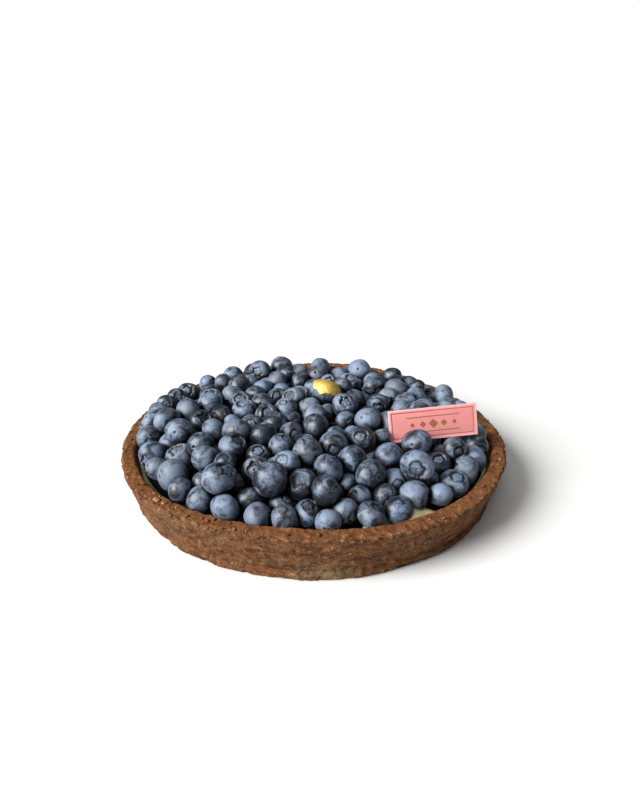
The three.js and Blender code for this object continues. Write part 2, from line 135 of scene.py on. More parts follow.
class TartSizes(bpy.types.PropertyGroup):
    """What a user would resize"""

    crust_relief: FloatProperty(
        name="Crust relief", description="How deep the crust's pits and lumps are",
        default=0.0007, min=0, max=0.003, unit="LENGTH",
    )
    crown_width: FloatProperty(
        name="Crown width", description="Width of a berry's crown as a share of the berry",
        default=0.50, min=0.2, max=0.6, subtype="FACTOR",
    )
    crumb_count: IntProperty(
        name="Loose crumbs", description="How many loose crumbs lie on the crust",
        default=70, min=0, max=600,
    )
    leaf_thickness: FloatProperty(
        name="Leaf thickness", description="Thickness of the gold leaf",
        default=0.0001, min=0.00005, max=0.001, unit="LENGTH",
    )
    window_angle: FloatProperty(
        name="Window angle", description="How wide the soft light is, seen from the tart, in degrees",
        default=34, min=1, max=90,
    )


class TartColours(bpy.types.PropertyGroup):
    """What a user would recolour"""

    crust: colour_property("Crust", "#734b30", "Baked cocoa shortcrust")
    # The deep and pale tones also serve as painted shade in pits and cracks and painted light on raised
    # crumbs
    crust_deep: colour_property("Crust, deep", "#381e13", "Pits and cracks in the crust")
    crust_pale: colour_property("Crust, pale", "#b89167", "Raised crumbs on the crust")
    flour: colour_property("Flour", "#847050", "Dusty patch on the crust's foot")
    dough: colour_property("Pale crumbs", "#ae865d", "Loose crumbs of pale dough")
    cream: colour_property("Cream", "#f2eac8", "Pastry cream")
    skin: colour_property("Berry skin", "#0a0e19", "Blueberry skin where the bloom is rubbed off")
    bloom: colour_property("Bloom", "#7486a0", "Waxy bloom on the berries")
    bloom_grey: colour_property("Bloom, grey", "#727a80", "Duller bloom on some berries")
    crown: colour_property("Crown", "#77879e", "Disc inside a berry's crown")
    gold: colour_property("Gold leaf", "#fbdc78", "Gold leaf")
    plaque: colour_property("Plaque", "#dd908e", "Tinted white chocolate")
    ornament: colour_property("Ornament", "#a06a3c", "Painted ornament on the plaque")
    floor: colour_property("Floor", "#e8e8e7", "Studio floor")


# Helpers for pieces


def deselect_all():
    for obj in bpy.context.selected_objects:
        obj.select_set(False)


def activate(obj):
    """Makes a piece the only one selected."""
    deselect_all()
    obj.select_set(True)
    bpy.context.view_layer.objects.active = obj
    return obj


def new_piece(name, vertices, faces, edges=()):
    """A piece from points in millimetres."""
    mesh = bpy.data.meshes.new(name)
    mesh.from_pydata([tuple(v) for v in np.asarray(vertices) * MM], list(edges), faces)
    mesh.update()
    piece = bpy.data.objects.new(name, mesh)
    bpy.context.scene.collection.objects.link(piece)
    return activate(piece)


def added_piece(name):
    """The primitive just added, under its own name."""
    piece = bpy.context.active_object
    piece.name = name
    piece.data.name = name
    return piece


def points_of(mesh):
    """A mesh's points in millimetres."""
    flat = np.empty(len(mesh.vertices) * 3)
    mesh.vertices.foreach_get("co", flat)
    return flat.reshape(-1, 3) / MM


def set_points(mesh, points):
    mesh.vertices.foreach_set("co", (np.asarray(points) * MM).ravel())
    mesh.update()


def normals_of(mesh):
    flat = np.empty(len(mesh.vertices) * 3)
    mesh.vertex_normals.foreach_get("vector", flat)
    return flat.reshape(-1, 3)


def add_attribute(mesh, name, kind, values):
    """A value for each point that a material reads."""
    field = {"FLOAT": "value", "FLOAT_VECTOR": "vector", "FLOAT_COLOR": "color"}[kind]
    attribute = mesh.attributes.new(name, kind, "POINT")
    attribute.data.foreach_set(field, np.asarray(values, dtype=np.float32).ravel())


def apply_modifier(piece, kind, **settings):
    modifier = piece.modifiers.new(kind.title(), kind)
    for key, value in settings.items():
        setattr(modifier, key, value)
    activate(piece)
    bpy.ops.object.modifier_apply(modifier=modifier.name)


def finish_piece(piece, material, slot, *nodes):
    """Puts a piece's place into its mesh, gives it its material, and ties it to the model."""
    piece.data.transform(piece.matrix_world)
    piece.matrix_world = Matrix.Identity(4)
    piece.data.materials.clear()
    piece.data.materials.append(material)
    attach(piece, "root")
    if nodes:
        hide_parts(*nodes)
    return piece


def smooth(piece):
    piece.data.shade_smooth()
    return piece


def noise_at(points, size, seed=0.0, octaves=1):
    """Soft noise from -1 to 1, with lumps of a size in millimetres."""
    shift = Vector((seed * 17.3, seed * 5.9, seed * 11.1))
    if octaves == 1:
        return np.array([noise.noise(Vector(p) / size + shift) for p in points])
    return np.array([noise.fractal(Vector(p) / size + shift, 1.0, 2.1, octaves) for p in points])


def cells_at(points, size, seed=0.0):
    """Distance to the nearest and the second crumb centre, for crumbs of a size in millimetres."""
    shift = Vector((seed * 7.7, seed * 3.1, seed * 13.9))
    found = [noise.voronoi(Vector(p) / size + shift)[0] for p in points]
    return np.array([f[0] for f in found]), np.array([f[1] for f in found])


def smoothstep(low, high, value):
    """A value's share of the way from low to high, eased and held at both ends"""
    share = np.clip((np.asarray(value) - low) / (high - low), 0, 1)
    return share * share * (3 - 2 * share)


def bell(offset, width):
    """1 in the middle, falling softly to nothing about two widths away"""
    return np.exp(-((offset / width) ** 2))


def polar(points):
    """Each point's turn about z, and its reach from it"""
    return np.arctan2(points[:, 1], points[:, 0]), np.hypot(points[:, 0], points[:, 1])


def on_circle(turns, reaches):
    """Places in the plane from their turns and reaches"""
    return np.stack([reaches * np.cos(turns), reaches * np.sin(turns)], 1)


def level_direction(turn):
    return np.stack([np.cos(turn), np.sin(turn), 0 * turn], 1)


# Helpers for materials


def add_node(tree, kind, settings=None, inputs=None):
    """Adds a node, sets its properties and gives its inputs values or links."""
    node = tree.nodes.new(kind)
    for key, value in (settings or {}).items():
        setattr(node, key, value)
    for key, value in (inputs or {}).items():
        if isinstance(value, bpy.types.NodeSocket):
            tree.links.new(value, node.inputs[key])
        else:
            node.inputs[key].default_value = value
    return node


def new_material(name, shader):
    """A material with one shader, whose even values stand on its own sockets."""
    material = bpy.data.materials.new(name)
    material.use_nodes = True
    tree = material.node_tree
    tree.nodes.clear()
    output = add_node(tree, "ShaderNodeOutputMaterial")
    surface = add_node(tree, "ShaderNodeBsdfPrincipled", None, shader)
    tree.links.new(surface.outputs["BSDF"], output.inputs["Surface"])
    return material, tree, surface


def place_in_mm(tree, stretch=(1, 1, 1)):
    """Object coordinates in millimetres"""
    place = add_node(tree, "ShaderNodeTexCoord").outputs["Object"]
    scale = tuple(s / MM for s in stretch)
    mapped = add_node(tree, "ShaderNodeMapping", None, {"Vector": place, "Scale": scale})
    return mapped.outputs["Vector"]


def ramp(tree, value, low, high, low_to=0.0, high_to=1.0):
    """A value's share of the way from low to high, eased and held at both ends"""
    settings = {"interpolation_type": "SMOOTHSTEP"}
    inputs = {"Value": value, "From Min": low, "From Max": high, "To Min": low_to, "To Max": high_to}
    return add_node(tree, "ShaderNodeMapRange", settings, inputs).outputs["Result"]


def math_node(tree, operation, first, second=0.0, third=0.0):
    inputs = {0: first, 1: second, 2: third}
    return add_node(tree, "ShaderNodeMath", {"operation": operation}, inputs).outputs[0]


def rgba(colour):
    """A colour with its alpha, from a hex value or from linear red, green and blue"""
    return (*(linear(colour) if isinstance(colour, str) else colour), 1.0)


def blend(tree, share, under, over):
    """One colour over another by a share, each from a node, a hex value or a property"""
    under, over = (c if isinstance(c, bpy.types.NodeSocket) else rgba(c) for c in (under, over))
    inputs = {0: share, 6: under, 7: over}
    return add_node(tree, "ShaderNodeMix", {"data_type": "RGBA"}, inputs).outputs[2]


def attribute_parts(tree, name):
    """The red, green and blue of a colour that the piece's points carry"""
    colour = add_node(tree, "ShaderNodeAttribute", {"attribute_name": name}).outputs["Color"]
    parts = add_node(tree, "ShaderNodeSeparateColor", None, {"Color": colour})
    return [parts.outputs[part] for part in ("Red", "Green", "Blue")]


def add_pattern(tree, under, pattern, amount, shift):
    """A value with an amount of a pattern and an even shift added to it"""
    return math_node(tree, "MULTIPLY_ADD", pattern, amount, math_node(tree, "ADD", under, shift))


def noise_node(tree, place, size, detail=2.0, roughness=0.5, distortion=0.0):
    """Noise with lumps of a size in the place's own unit"""
    inputs = {
        "Vector": place, "Scale": 1 / size, "Detail": detail,
        "Roughness": roughness, "Distortion": distortion,
    }
    return add_node(tree, "ShaderNodeTexNoise", None, inputs).outputs["Fac"]


def bump(tree, surface, height, distance, strength):
    inputs = {"Height": height, "Distance": distance, "Strength": strength}
    node = add_node(tree, "ShaderNodeBump", None, inputs)
    tree.links.new(node.outputs["Normal"], surface.inputs["Normal"])


def two_tone(name, size, under, over, shader):
    """A material of two tones that lie in soft lumps of a size in millimetres"""
    material, tree, surface = new_material(name, shader)
    place = place_in_mm(tree)
    lumps = noise_node(tree, place, size)
    tree.links.new(blend(tree, lumps, under, over), surface.inputs["Base Color"])
    return material, tree, surface, place, lumps


# Materials

FLOUR_AT = (6, -109, 5.0)  # the dusty patch on the crust's foot, in millimetres
FLOUR_SIZE = (17, 9, 9)


def cocoa_shortcrust(colours):
    """Cocoa shortcrust, pressed into a ring and baked: dry, dull and sandy, with pale and dark crumbs,
    painted light on its raised crumbs and painted shade in its pits, cracks and chips, and warmer on the
    rim's top."""
    shader = {"Roughness": 0.92, "Specular IOR Level": 0.12}
    material, tree, surface = new_material("cocoa_shortcrust", shader)
    place = place_in_mm(tree)
    level = place_in_mm(tree, (0.65, 0.65, 1.0))
    relief, crest, top = attribute_parts(tree, "baked")
    blotch = noise_node(tree, place, 15, 3, 0.6)
    crumb = noise_node(tree, level, 2.8, 4, 0.7)
    fleck = noise_node(tree, level, 1.25, 3, 0.7, 0.6)
    hole = noise_node(tree, level, 1.7, 3, 0.6, 0.4)
    grain = noise_node(tree, place, 0.55, 2, 0.6)
    # Red-brown and olive-brown blotches, warmer on the rim's top
    colour = blend(tree, ramp(tree, blotch, 0.42, 0.62), colours.crust, "#6a4b31")
    colour = blend(tree, math_node(tree, "MULTIPLY", top, 0.6), colour, "#7b4c2a")
    # The foot's dusty patch, at the front
    patch_place = add_node(
        tree, "ShaderNodeMapping", {"vector_type": "TEXTURE"},
        {"Vector": place, "Location": FLOUR_AT, "Scale": FLOUR_SIZE},
    ).outputs["Vector"]
    length = {"operation": "LENGTH"}
    away = add_node(tree, "ShaderNodeVectorMath", length, {0: patch_place}).outputs["Value"]
    ragged = add_pattern(tree, away, crumb, 2.2, -1.1)
    ragged = add_pattern(tree, ragged, fleck, 3.0, -1.5)
    colour = blend(tree, ramp(tree, ragged, 1.1, 0.3, 0, 0.75), colour, colours.flour)
    # The tone: random crumbs and grains, and the relief: paler as painted light where crumbs stand up,
    # darker as painted shade in pits, cracks and chips
    tone = math_node(tree, "MULTIPLY_ADD", crumb, 1.3, -0.65)
    tone = add_pattern(tree, tone, grain, 0.9, -0.45)
    tone = add_pattern(tree, tone, relief, 0.8, -0.4)
    softer_on_top = ramp(tree, top, 0.0, 1.0, 1.0, 0.55)
    deep = math_node(tree, "MULTIPLY", ramp(tree, tone, 0.12, -0.42, 0, 0.9), softer_on_top)
    colour = blend(tree, deep, colour, colours.crust_deep)
    colour = blend(tree, ramp(tree, tone, 0.08, 0.5, 0, 0.6), colour, colours.crust_pale)
    # Small reddish pits, painted as dark spots: painted shade of pits that the surface doesn't dent; and
    # pale flecks, with more along the rim's outer edge as a painted highlight
    pit = ramp(tree, math_node(tree, "MULTIPLY_ADD", grain, 0.25, hole), 0.535, 0.46, 0, 0.7)
    colour = blend(tree, pit, colour, "#40200f")
    rise = math_node(tree, "MULTIPLY_ADD", crest, 0.045, fleck)
    pale = ramp(tree, math_node(tree, "MULTIPLY_ADD", grain, 0.3, rise), 0.755, 0.84, 0, 0.6)
    colour = blend(tree, pale, colour, "#b28c64")
    tree.links.new(colour, surface.inputs["Base Color"])
    rough = math_node(tree, "ADD", crumb, math_node(tree, "MULTIPLY", grain, 0.6))
    rough = math_node(tree, "MULTIPLY_ADD", fleck, 0.8, rough)
    bump(tree, surface, rough, 0.6 * MM, 0.8)
    return material


def bloomed_skin(colours):
    """Blueberry skin: nearly black and faintly glossy where rubbed, under a pale blue waxy bloom that lies
    in patches, a bit different on each berry, with painted shade where the berries crowd together and in
    the crowns' grooves and hollows."""
    shader = {
        "Specular IOR Level": 0.6, "Sheen Weight": 0.08, "Sheen Roughness": 0.45,
        "Sheen Tint": rgba("#b9c8e6"),
    }
    material, tree, surface = new_material("bloomed_skin", shader)
    place = add_node(tree, "ShaderNodeAttribute", {"attribute_name": "skin_place"}).outputs["Vector"]
    bloom, greyness, hue = attribute_parts(tree, "tint")
    dark, crown_disc, pale = attribute_parts(tree, "marks")
    patches = noise_node(tree, place, 6.5, 3, 0.55, 0.8)
    flecks = noise_node(tree, place, 1.3, 3, 0.7)
    dust = noise_node(tree, place, 0.45, 1, 0.5)
    amount = add_pattern(tree, bloom, patches, 2.3, -1.6)
    amount = add_pattern(tree, amount, flecks, 0.9, -0.18)
    amount = add_pattern(tree, amount, dust, 0.4, -0.2)
    # Fine wandering scratches in the bloom
    wander = math_node(tree, "ADD", noise_node(tree, place, 4.5, 2, 0.5, 1.8), -0.5)
    wander = math_node(tree, "ABSOLUTE", wander)
    scratch = math_node(tree, "MULTIPLY", ramp(tree, wander, 0.016, 0.004), ramp(tree, flecks, 0.42, 0.6))
    amount = math_node(tree, "MULTIPLY_ADD", scratch, -0.45, amount)
    # Where berries crowd together the bloom is rubbed off, and the skin also gets painted shade there,
    # near black deep between them.
    buried = add_node(tree, "ShaderNodeAttribute", {"attribute_name": "buried"}).outputs["Fac"]
    amount = math_node(tree, "SUBTRACT", amount, ramp(tree, buried, 0.3, 1.0, 0, 0.55))
    cover = ramp(tree, amount, 0.04, 0.8, 0.03, 0.95)
    waxy = blend(tree, greyness, colours.bloom, colours.bloom_grey)
    colour = blend(tree, cover, colours.skin, waxy)
    violet = ramp(tree, hue, 0.9, 1.0, 0, 0.3)
    colour = blend(tree, violet, colour, "#392734")
    olive = ramp(tree, hue, 0.35, 0.0, 0, 0.45)
    colour = blend(tree, olive, colour, "#45473f")
    disc = math_node(tree, "MULTIPLY", crown_disc, ramp(tree, flecks, 0.3, 0.65, 0.15, 0.75))
    colour = blend(tree, disc, colour, colours.crown)
    colour = blend(tree, pale, colour, "#99a2ab")
    # Dark marks: painted shade in the crowns' grooves and hollows, and the dark scars
    colour = blend(tree, dark, colour, "#06070b")
    # Painted shade between the berries: near black where the neighbours close in
    colour = blend(tree, ramp(tree, buried, 0.2, 0.68, 0, 0.93), colour, "#04060a")
    tree.links.new(colour, surface.inputs["Base Color"])
    dull = ramp(tree, cover, 0.0, 0.9, 0.36, 0.56)
    tree.links.new(dull, surface.inputs["Roughness"])
    bump(tree, surface, math_node(tree, "ADD", flecks, dust), 0.16 * MM, 0.6)
    return material


def shaded_skin():
    """Berries that lie too deep to catch light: dark, dull skin."""
    shader = {"Roughness": 1.0, "Specular IOR Level": 0.05}
    material, tree, surface, _, lumps = two_tone("shaded_skin", 5, "#020203", "#06070b", shader)
    bump(tree, surface, lumps, 1.5 * MM, 0.6)
    return material


def pastry_cream(colours):
    """Pastry cream, spread with a palette knife: soft, pale yellow and moist, so light soaks in."""
    shader = {
        "Roughness": 0.38, "Subsurface Weight": 0.35, "Subsurface Radius": (1.0, 0.7, 0.35),
        "Subsurface Scale": 2 * MM,
    }
    material, tree, surface, place, _ = two_tone("pastry_cream", 7, "#ddd394", colours.cream, shader)
    bump(tree, surface, noise_node(tree, place, 2.2, 3, 0.6), 0.5 * MM, 0.5)
    return material


def gold_leaf(colours):
    """Edible gold leaf, laid on by brush: thin bright metal, crinkled and torn at the edge."""
    material, tree, surface = new_material("gold_leaf", {"Metallic": 0.85})
    place = place_in_mm(tree)
    crinkle = noise_node(tree, place, 1.5, 4, 0.65, 1.5)
    worn = noise_node(tree, place, 2.5, 3, 0.6)
    colour = blend(tree, ramp(tree, worn, 0.35, 0.65), "#efc768", colours.gold)
    tree.links.new(colour, surface.inputs["Base Color"])
    tree.links.new(ramp(tree, worn, 0.3, 0.7, 0.66, 0.46), surface.inputs["Roughness"])
    bump(tree, surface, crinkle, 0.5 * MM, 0.8)
    return material


def tinted_chocolate(colours):
    """White chocolate tinted pink and cast in a mould: smooth, softly glossy, a little see-through."""
    shader = {
        "Roughness": 0.36, "Subsurface Weight": 0.2, "Subsurface Radius": (1.0, 0.45, 0.4),
        "Subsurface Scale": 1.5 * MM,
    }
    material, tree, surface = new_material("tinted_chocolate", shader)
    place = place_in_mm(tree)
    cloud = noise_node(tree, place, 9, 2)
    colour = blend(tree, cloud, "#d88886", colours.plaque)
    # The edge mark gives a painted highlight along the plaque's edges, the groove mark painted shade in
    # the groove of its face
    edge, groove, _ = attribute_parts(tree, "cast")
    colour = blend(tree, edge, colour, "#f3bdb9")
    colour = blend(tree, groove, colour, "#b26062")
    tree.links.new(colour, surface.inputs["Base Color"])
    bump(tree, surface, noise_node(tree, place, 1.2, 2), 0.06 * MM, 0.5)
    return material


def painted_cocoa_butter(colours):
    """Coloured cocoa butter, printed on the plaque: thin, brown and faintly golden."""
    return two_tone("painted_cocoa_butter", 1.5, "#8a5530", colours.ornament, {"Roughness": 0.4})[0]


def pale_dough(colours):
    """Crumbs of paler dough that broke off the crust: dry and sandy."""
    return two_tone("pale_dough", 0.7, "#9b744b", colours.dough, {"Roughness": 0.9})[0]


def studio_floor(colours):
    """Matt studio paper, plain and pale."""
    return two_tone("studio_paper", 300, "#e6e6e5", colours.floor, {"Roughness": 0.9})[0]


# The heap

# The outline of the core under the berries: reach and height
CORE_PROFILE = (
    (0, 17.5), (98, 17.5), (104.6, 18.6), (104.2, 21.2), (97, 23.6),
    (82, 26), (60, 29), (40, 30), (20, 30), (0, 30),
)


def draws_from(seed):
    """Repeatable draws from 0 up to 1, the same as the solids' source makes"""
    state = seed
    while True:
        state = (state * 1664525 + 1013904223) % 4294967296
        yield state / 4294967296


def scatter_layers(draw):
    """The berries' start, in flat sunflower spirals, each [x, y, z, radius]"""
    berries = []
    for count, spread, height in LAYERS:
        dir_x, dir_y = 1.0, 0.0
        for i in range(count):
            share = 0.5 * next(draw) + 0.5 * next(draw)
            radius = SMALLEST_BERRY + (LARGEST_BERRY - SMALLEST_BERRY) * share
            reach = spread * math.sqrt((i + 0.5) / count)
            x = reach * dir_x + 3 * (next(draw) - 0.5)
            y = reach * dir_y + 3 * (next(draw) - 0.5) + HOLLOW_SHIFT
            berries.append([x, y, height, radius])
            dir_x, dir_y = dir_x * GOLDEN_COS - dir_y * GOLDEN_SIN, dir_x * GOLDEN_SIN + dir_y * GOLDEN_COS
    return berries


def near_pairs(berries):
    """Pairs of berries near enough to touch within the next few steps"""
    pairs = []
    for i, a in enumerate(berries):
        for b in berries[i + 1 :]:
            dx, dy, dz = b[0] - a[0], b[1] - a[1], b[2] - a[2]
            near = a[3] + b[3] + 5
            if dx * dx + dy * dy + dz * dz < near * near:
                pairs.append((a, b))
    return pairs


def push_apart(a, b):
    dx, dy, dz = b[0] - a[0], b[1] - a[1], b[2] - a[2]
    distance = math.sqrt(dx * dx + dy * dy + dz * dz)
    needed = CONTACT_SHARE * (a[3] + b[3])
    if distance >= needed:
        return
    push = (0.5 * (needed - distance)) / distance
    a[0] -= push * dx
    a[1] -= push * dy
    a[2] -= push * dz
    b[0] += push * dx
    b[1] += push * dy
    b[2] += push * dz


def keep_in_shell(berry):
    lowest = CREAM_LEVEL + SINK_SHARE * berry[3]
    if berry[2] < lowest:
        berry[2] = lowest
    back = berry[1] - HOLLOW_SHIFT
    reach = math.sqrt(berry[0] * berry[0] + back * back)
    limit = HEAP_RADIUS - berry[3]
    if reach > limit:
        berry[0] *= limit / reach
        berry[1] = HOLLOW_SHIFT + back * (limit / reach)


def keep_off_plaque(berry, to_plaque, from_plaque):
    local = to_plaque @ np.array((*berry[:3], 1.0))
    out_x = max(abs(local[0]) - PLAQUE_LENGTH / 2, 0)
    out_y = max(abs(local[1]) - PLAQUE_THICKNESS / 2, 0)
    out_z = max(abs(local[2] - PLAQUE_HEIGHT / 2) - PLAQUE_HEIGHT / 2, 0)
    distance = math.sqrt(out_x * out_x + out_y * out_y + out_z * out_z)
    lacking = berry[3] + BERRY_TO_PLAQUE - distance
    if lacking <= 0:
        return
    if local[2] < 0 and out_z >= out_y:
        local[2] -= lacking
    else:
        local[1] += lacking if local[1] > 0 else -lacking
    berry[:3] = (from_plaque @ local)[:3]


def keep_plaque_clear(berry):
    """Lowers a berry before the plaque until it no longer hides the plaque's face from the front."""
    dx = berry[0] - PLAQUE_AT[0]
    before = PLAQUE_AT[1] - berry[1]
    if before < 0 or abs(dx) > 0.5 * PLAQUE_LENGTH + 0.6 * berry[3]:
        return
    lower_edge = PLAQUE_AT[2] + dx * math.tan(math.radians(PLAQUE_ROLL))
    highest = lower_edge + SIGHT_SLOPE * before - berry[3] * math.sqrt(1 + SIGHT_SLOPE * SIGHT_SLOPE)
    if berry[2] > highest:
        berry[2] = highest


def settle_berries(draw):
    """Lets the berries settle: again and again all drop a little and push one another apart."""
    berries = scatter_layers(draw)
    first = LAYERS[0][0]
    pinned = {}
    for name, pin in SET_BERRIES.items():
        free = [b for b in berries[first : first + LAYERS[1][0]] if b not in pinned.values()]
        nearest = min(free, key=lambda b: (b[0] - pin[0]) ** 2 + (b[1] - pin[1]) ** 2)
        nearest[:] = pin
        pinned[name] = nearest
    from_plaque = plaque_frame()
    to_plaque = np.linalg.inv(from_plaque)
    pairs = []
    for step in range(SETTLING_STEPS):
        if step % 6 == 0:
            pairs = near_pairs(berries)
        for berry in berries:
            berry[2] -= SETTLING_FALL
        for a, b in pairs:
            push_apart(a, b)
        for berry in berries:
            keep_plaque_clear(berry)
            keep_in_shell(berry)
            keep_off_plaque(berry, to_plaque, from_plaque)
        for name, berry in pinned.items():
            berry[:] = SET_BERRIES[name]
    for berry in berries:
        if berry not in pinned.values():
            slump(berry)
    return berries, pinned


def slump(berry):
    """Lowers the heap towards the back."""
    share = min(max((berry[1] - 5) / 60, 0), 1)
    berry[2] -= BACK_SLUMP * share * (berry[2] - CREAM_LEVEL - 6)


def plaque_frame():
    """The plaque's own frame: x along it, y through it to the back, z up it from its lower edge"""

    def turned(axis, degrees):
        c, s = math.cos(math.radians(degrees)), math.sin(math.radians(degrees))
        i, j = [(1, 2), (2, 0), (0, 1)][axis]
        matrix = np.eye(4)
        matrix[i, i] = matrix[j, j] = c
        matrix[i, j], matrix[j, i] = -s, s
        return matrix

    place = np.eye(4)
    place[:3, 3] = PLAQUE_AT
    return place @ turned(2, PLAQUE_TURN) @ turned(0, -PLAQUE_LEAN) @ turned(1, -PLAQUE_ROLL)


def crown_direction(draw):
    """The direction of a berry's crown: any, except steeply down"""
    tilt = math.acos(1 - 1.7 * next(draw))
    turn = 2 * math.pi * next(draw)
    level = math.sin(tilt)
    return np.array((level * math.cos(turn), level * math.sin(turn), math.cos(tilt)))


def make_heap_plan():
    """Every berry's place, size and crown, and the berries with a set place by name"""
    draw = draws_from(HEAP_SEED)
    berries, pinned = settle_berries(draw)
    plan = [{"place": np.array(b[:3]), "radius": b[3], "crown": crown_direction(draw)} for b in berries]
    named = {name: next(p for p, b in zip(plan, berries) if b is pin) for name, pin in pinned.items()}
    return plan, named


def around_hollow(place):
    """A place's reach from the hollow's middle, and its turn in degrees"""
    x, y = place[0], place[1] - HOLLOW_SHIFT
    return math.hypot(x, y), math.degrees(math.atan2(y, x))


def hug_crust(plan):
    """Moves the lowest berries by the crust outwards until they all but touch it, where there is room."""
    for berry in plan:
        x, y, z = berry["place"]
        reach, turn = around_hollow(berry["place"])
        by_window = -80 < turn < -48
        if reach < HUGGING_REACH or z > CREAM_LEVEL + 1.5 * berry["radius"] or by_window:
            continue
        limit = HEAP_RADIUS - berry["radius"] - 0.3
        for share in (1.0, 0.75, 0.5, 0.25):
            moved = reach + share * (limit - reach)
            place = np.array((x * moved / reach, HOLLOW_SHIFT + (y - HOLLOW_SHIFT) * moved / reach, z))
            if all(
                np.linalg.norm(b["place"] - place) > HUGGING_CONTACT * (b["radius"] + berry["radius"])
                for b in plan if b is not berry
            ):
                berry["place"] = place
                break


def swell_at_the_left(plan):
    """Lifts the berries along the crust at the back left, where they lie over its rim."""
    for berry in plan:
        x, y, _ = berry["place"]
        reach, turn = around_hollow(berry["place"])
        turn %= 360
        share = smoothstep(80, 98, reach) * smoothstep(98, 118, turn) * smoothstep(206, 178, turn)
        swell = np.array((LEFT_OUTWARDS * x / reach, LEFT_OUTWARDS * y / reach, LEFT_LIFT))
        berry["place"] = berry["place"] + share * swell


def even_directions(count):
    """Directions spread evenly over the sphere"""
    i = np.arange(count)
    height = 1 - (2 * i + 1) / count
    turn = i * math.pi * (3 - math.sqrt(5))
    reach = np.sqrt(1 - height**2)
    return np.stack([reach * np.cos(turn), reach * np.sin(turn), height], 1)


def shows(berry, plan):
    """Whether any of a berry can be seen from some direction above the rim"""
    around = even_directions(40)
    looks = [look for look in even_directions(40) if look[2] > 0.1]
    near = [b for b in plan if b is not berry and b["place"][2] > berry["place"][2] - 12]
    places = np.array([b["place"] for b in near])
    radii = 0.97 * np.array([b["radius"] for b in near])
    starts = berry["place"] + around * berry["radius"]
    offset = places[None] - starts[:, None]
    squared = (offset**2).sum(2)
    buried = (squared < radii**2).any(1)
    for look in looks:
        along = offset @ look
        blocked = ((along > 0) & (squared - along**2 < radii**2)).any(1)
        if (~buried & ~blocked & (around @ look > 0.1)).any():
            return True
    return False


def fill_gaps(plan, random):
    """Small berries that rolled into the gaps of the heap, where there is room for one"""
    from_plaque = plaque_frame()
    to_plaque = np.linalg.inv(from_plaque)
    places = np.array([b["place"] for b in plan])
    radii = np.array([b["radius"] for b in plan])
    for radius in GAP_BERRIES:
        for _ in range(GAP_TRIES):
            turn = random.uniform(-math.pi, math.pi)
            reach = HEAP_RADIUS - radius - 0.2
            reach *= 1 if random.uniform() < 0.35 else math.sqrt(random.uniform(0.02, 1))
            x, y = reach * math.cos(turn), reach * math.sin(turn) + HOLLOW_SHIFT
            if reach > 78 and -78 < math.degrees(turn) < -50:
                continue
            level = np.hypot(places[:, 0] - x, places[:, 1] - y)
            touching = 0.94 * (radii + radius)
            below = level < touching
            rests = places[below, 2] + np.sqrt(touching[below] ** 2 - level[below] ** 2)
            z = max(CREAM_LEVEL + SINK_SHARE * radius, *rests)
            around = level < 19
            by_crust = reach > 88 and z < CREAM_LEVEL + 1.8 * radius
            if not around.any() or (not by_crust and z > np.sort(places[around, 2])[-3:].mean() - 1.5):
                continue
            berry = [x, y, z, radius]
            keep_plaque_clear(berry)
            keep_off_plaque(berry, to_plaque, from_plaque)
            if berry != [x, y, z, radius]:
                continue
            crown = random.normal(size=3)
            crown /= np.linalg.norm(crown)
            plan.append({"place": np.array(berry[:3]), "radius": radius, "crown": crown})
            places = np.vstack([places, berry[:3]])
            radii = np.append(radii, radius)


# Berry shapes

# Each kind: the lip's height, the groove's depth, how deep the disc lies, how pointed and how torn
# the star is, the crown's width against the usual and how flat the berry is
BERRY_KINDS = {
    "ring": (0.025, 0.12, 0.04, 0.04, 0.9, 1.05, 0.86),
    "star": (0.040, 0.17, 0.05, 0.30, 1.0, 1.00, 0.84),
    "open": (0.060, 0.16, 0.20, 0.16, 1.5, 1.00, 0.90),
    "worn": (0.015, 0.08, 0.03, 0.04, 0.9, 0.75, 0.92),
    "broad": (0.028, 0.14, 0.04, 0.16, 1.1, 1.10, 0.78),
    "torn": (0.055, 0.16, 0.12, 0.14, 1.8, 1.00, 0.82),
    "round": (0.020, 0.10, 0.04, 0.05, 0.8, 0.90, 0.94),
    "deep": (0.045, 0.16, 0.06, 0.22, 1.3, 0.95, 0.85),
}
# How a ball's rings are spread, so that many lie round the crown and some round the stem scar:
# shares of the rings, and the degrees from the crown's middle that they reach
RING_SHARES = (0, 0.46, 0.86, 1)
RING_ANGLES = (0, 31, 162, 180)


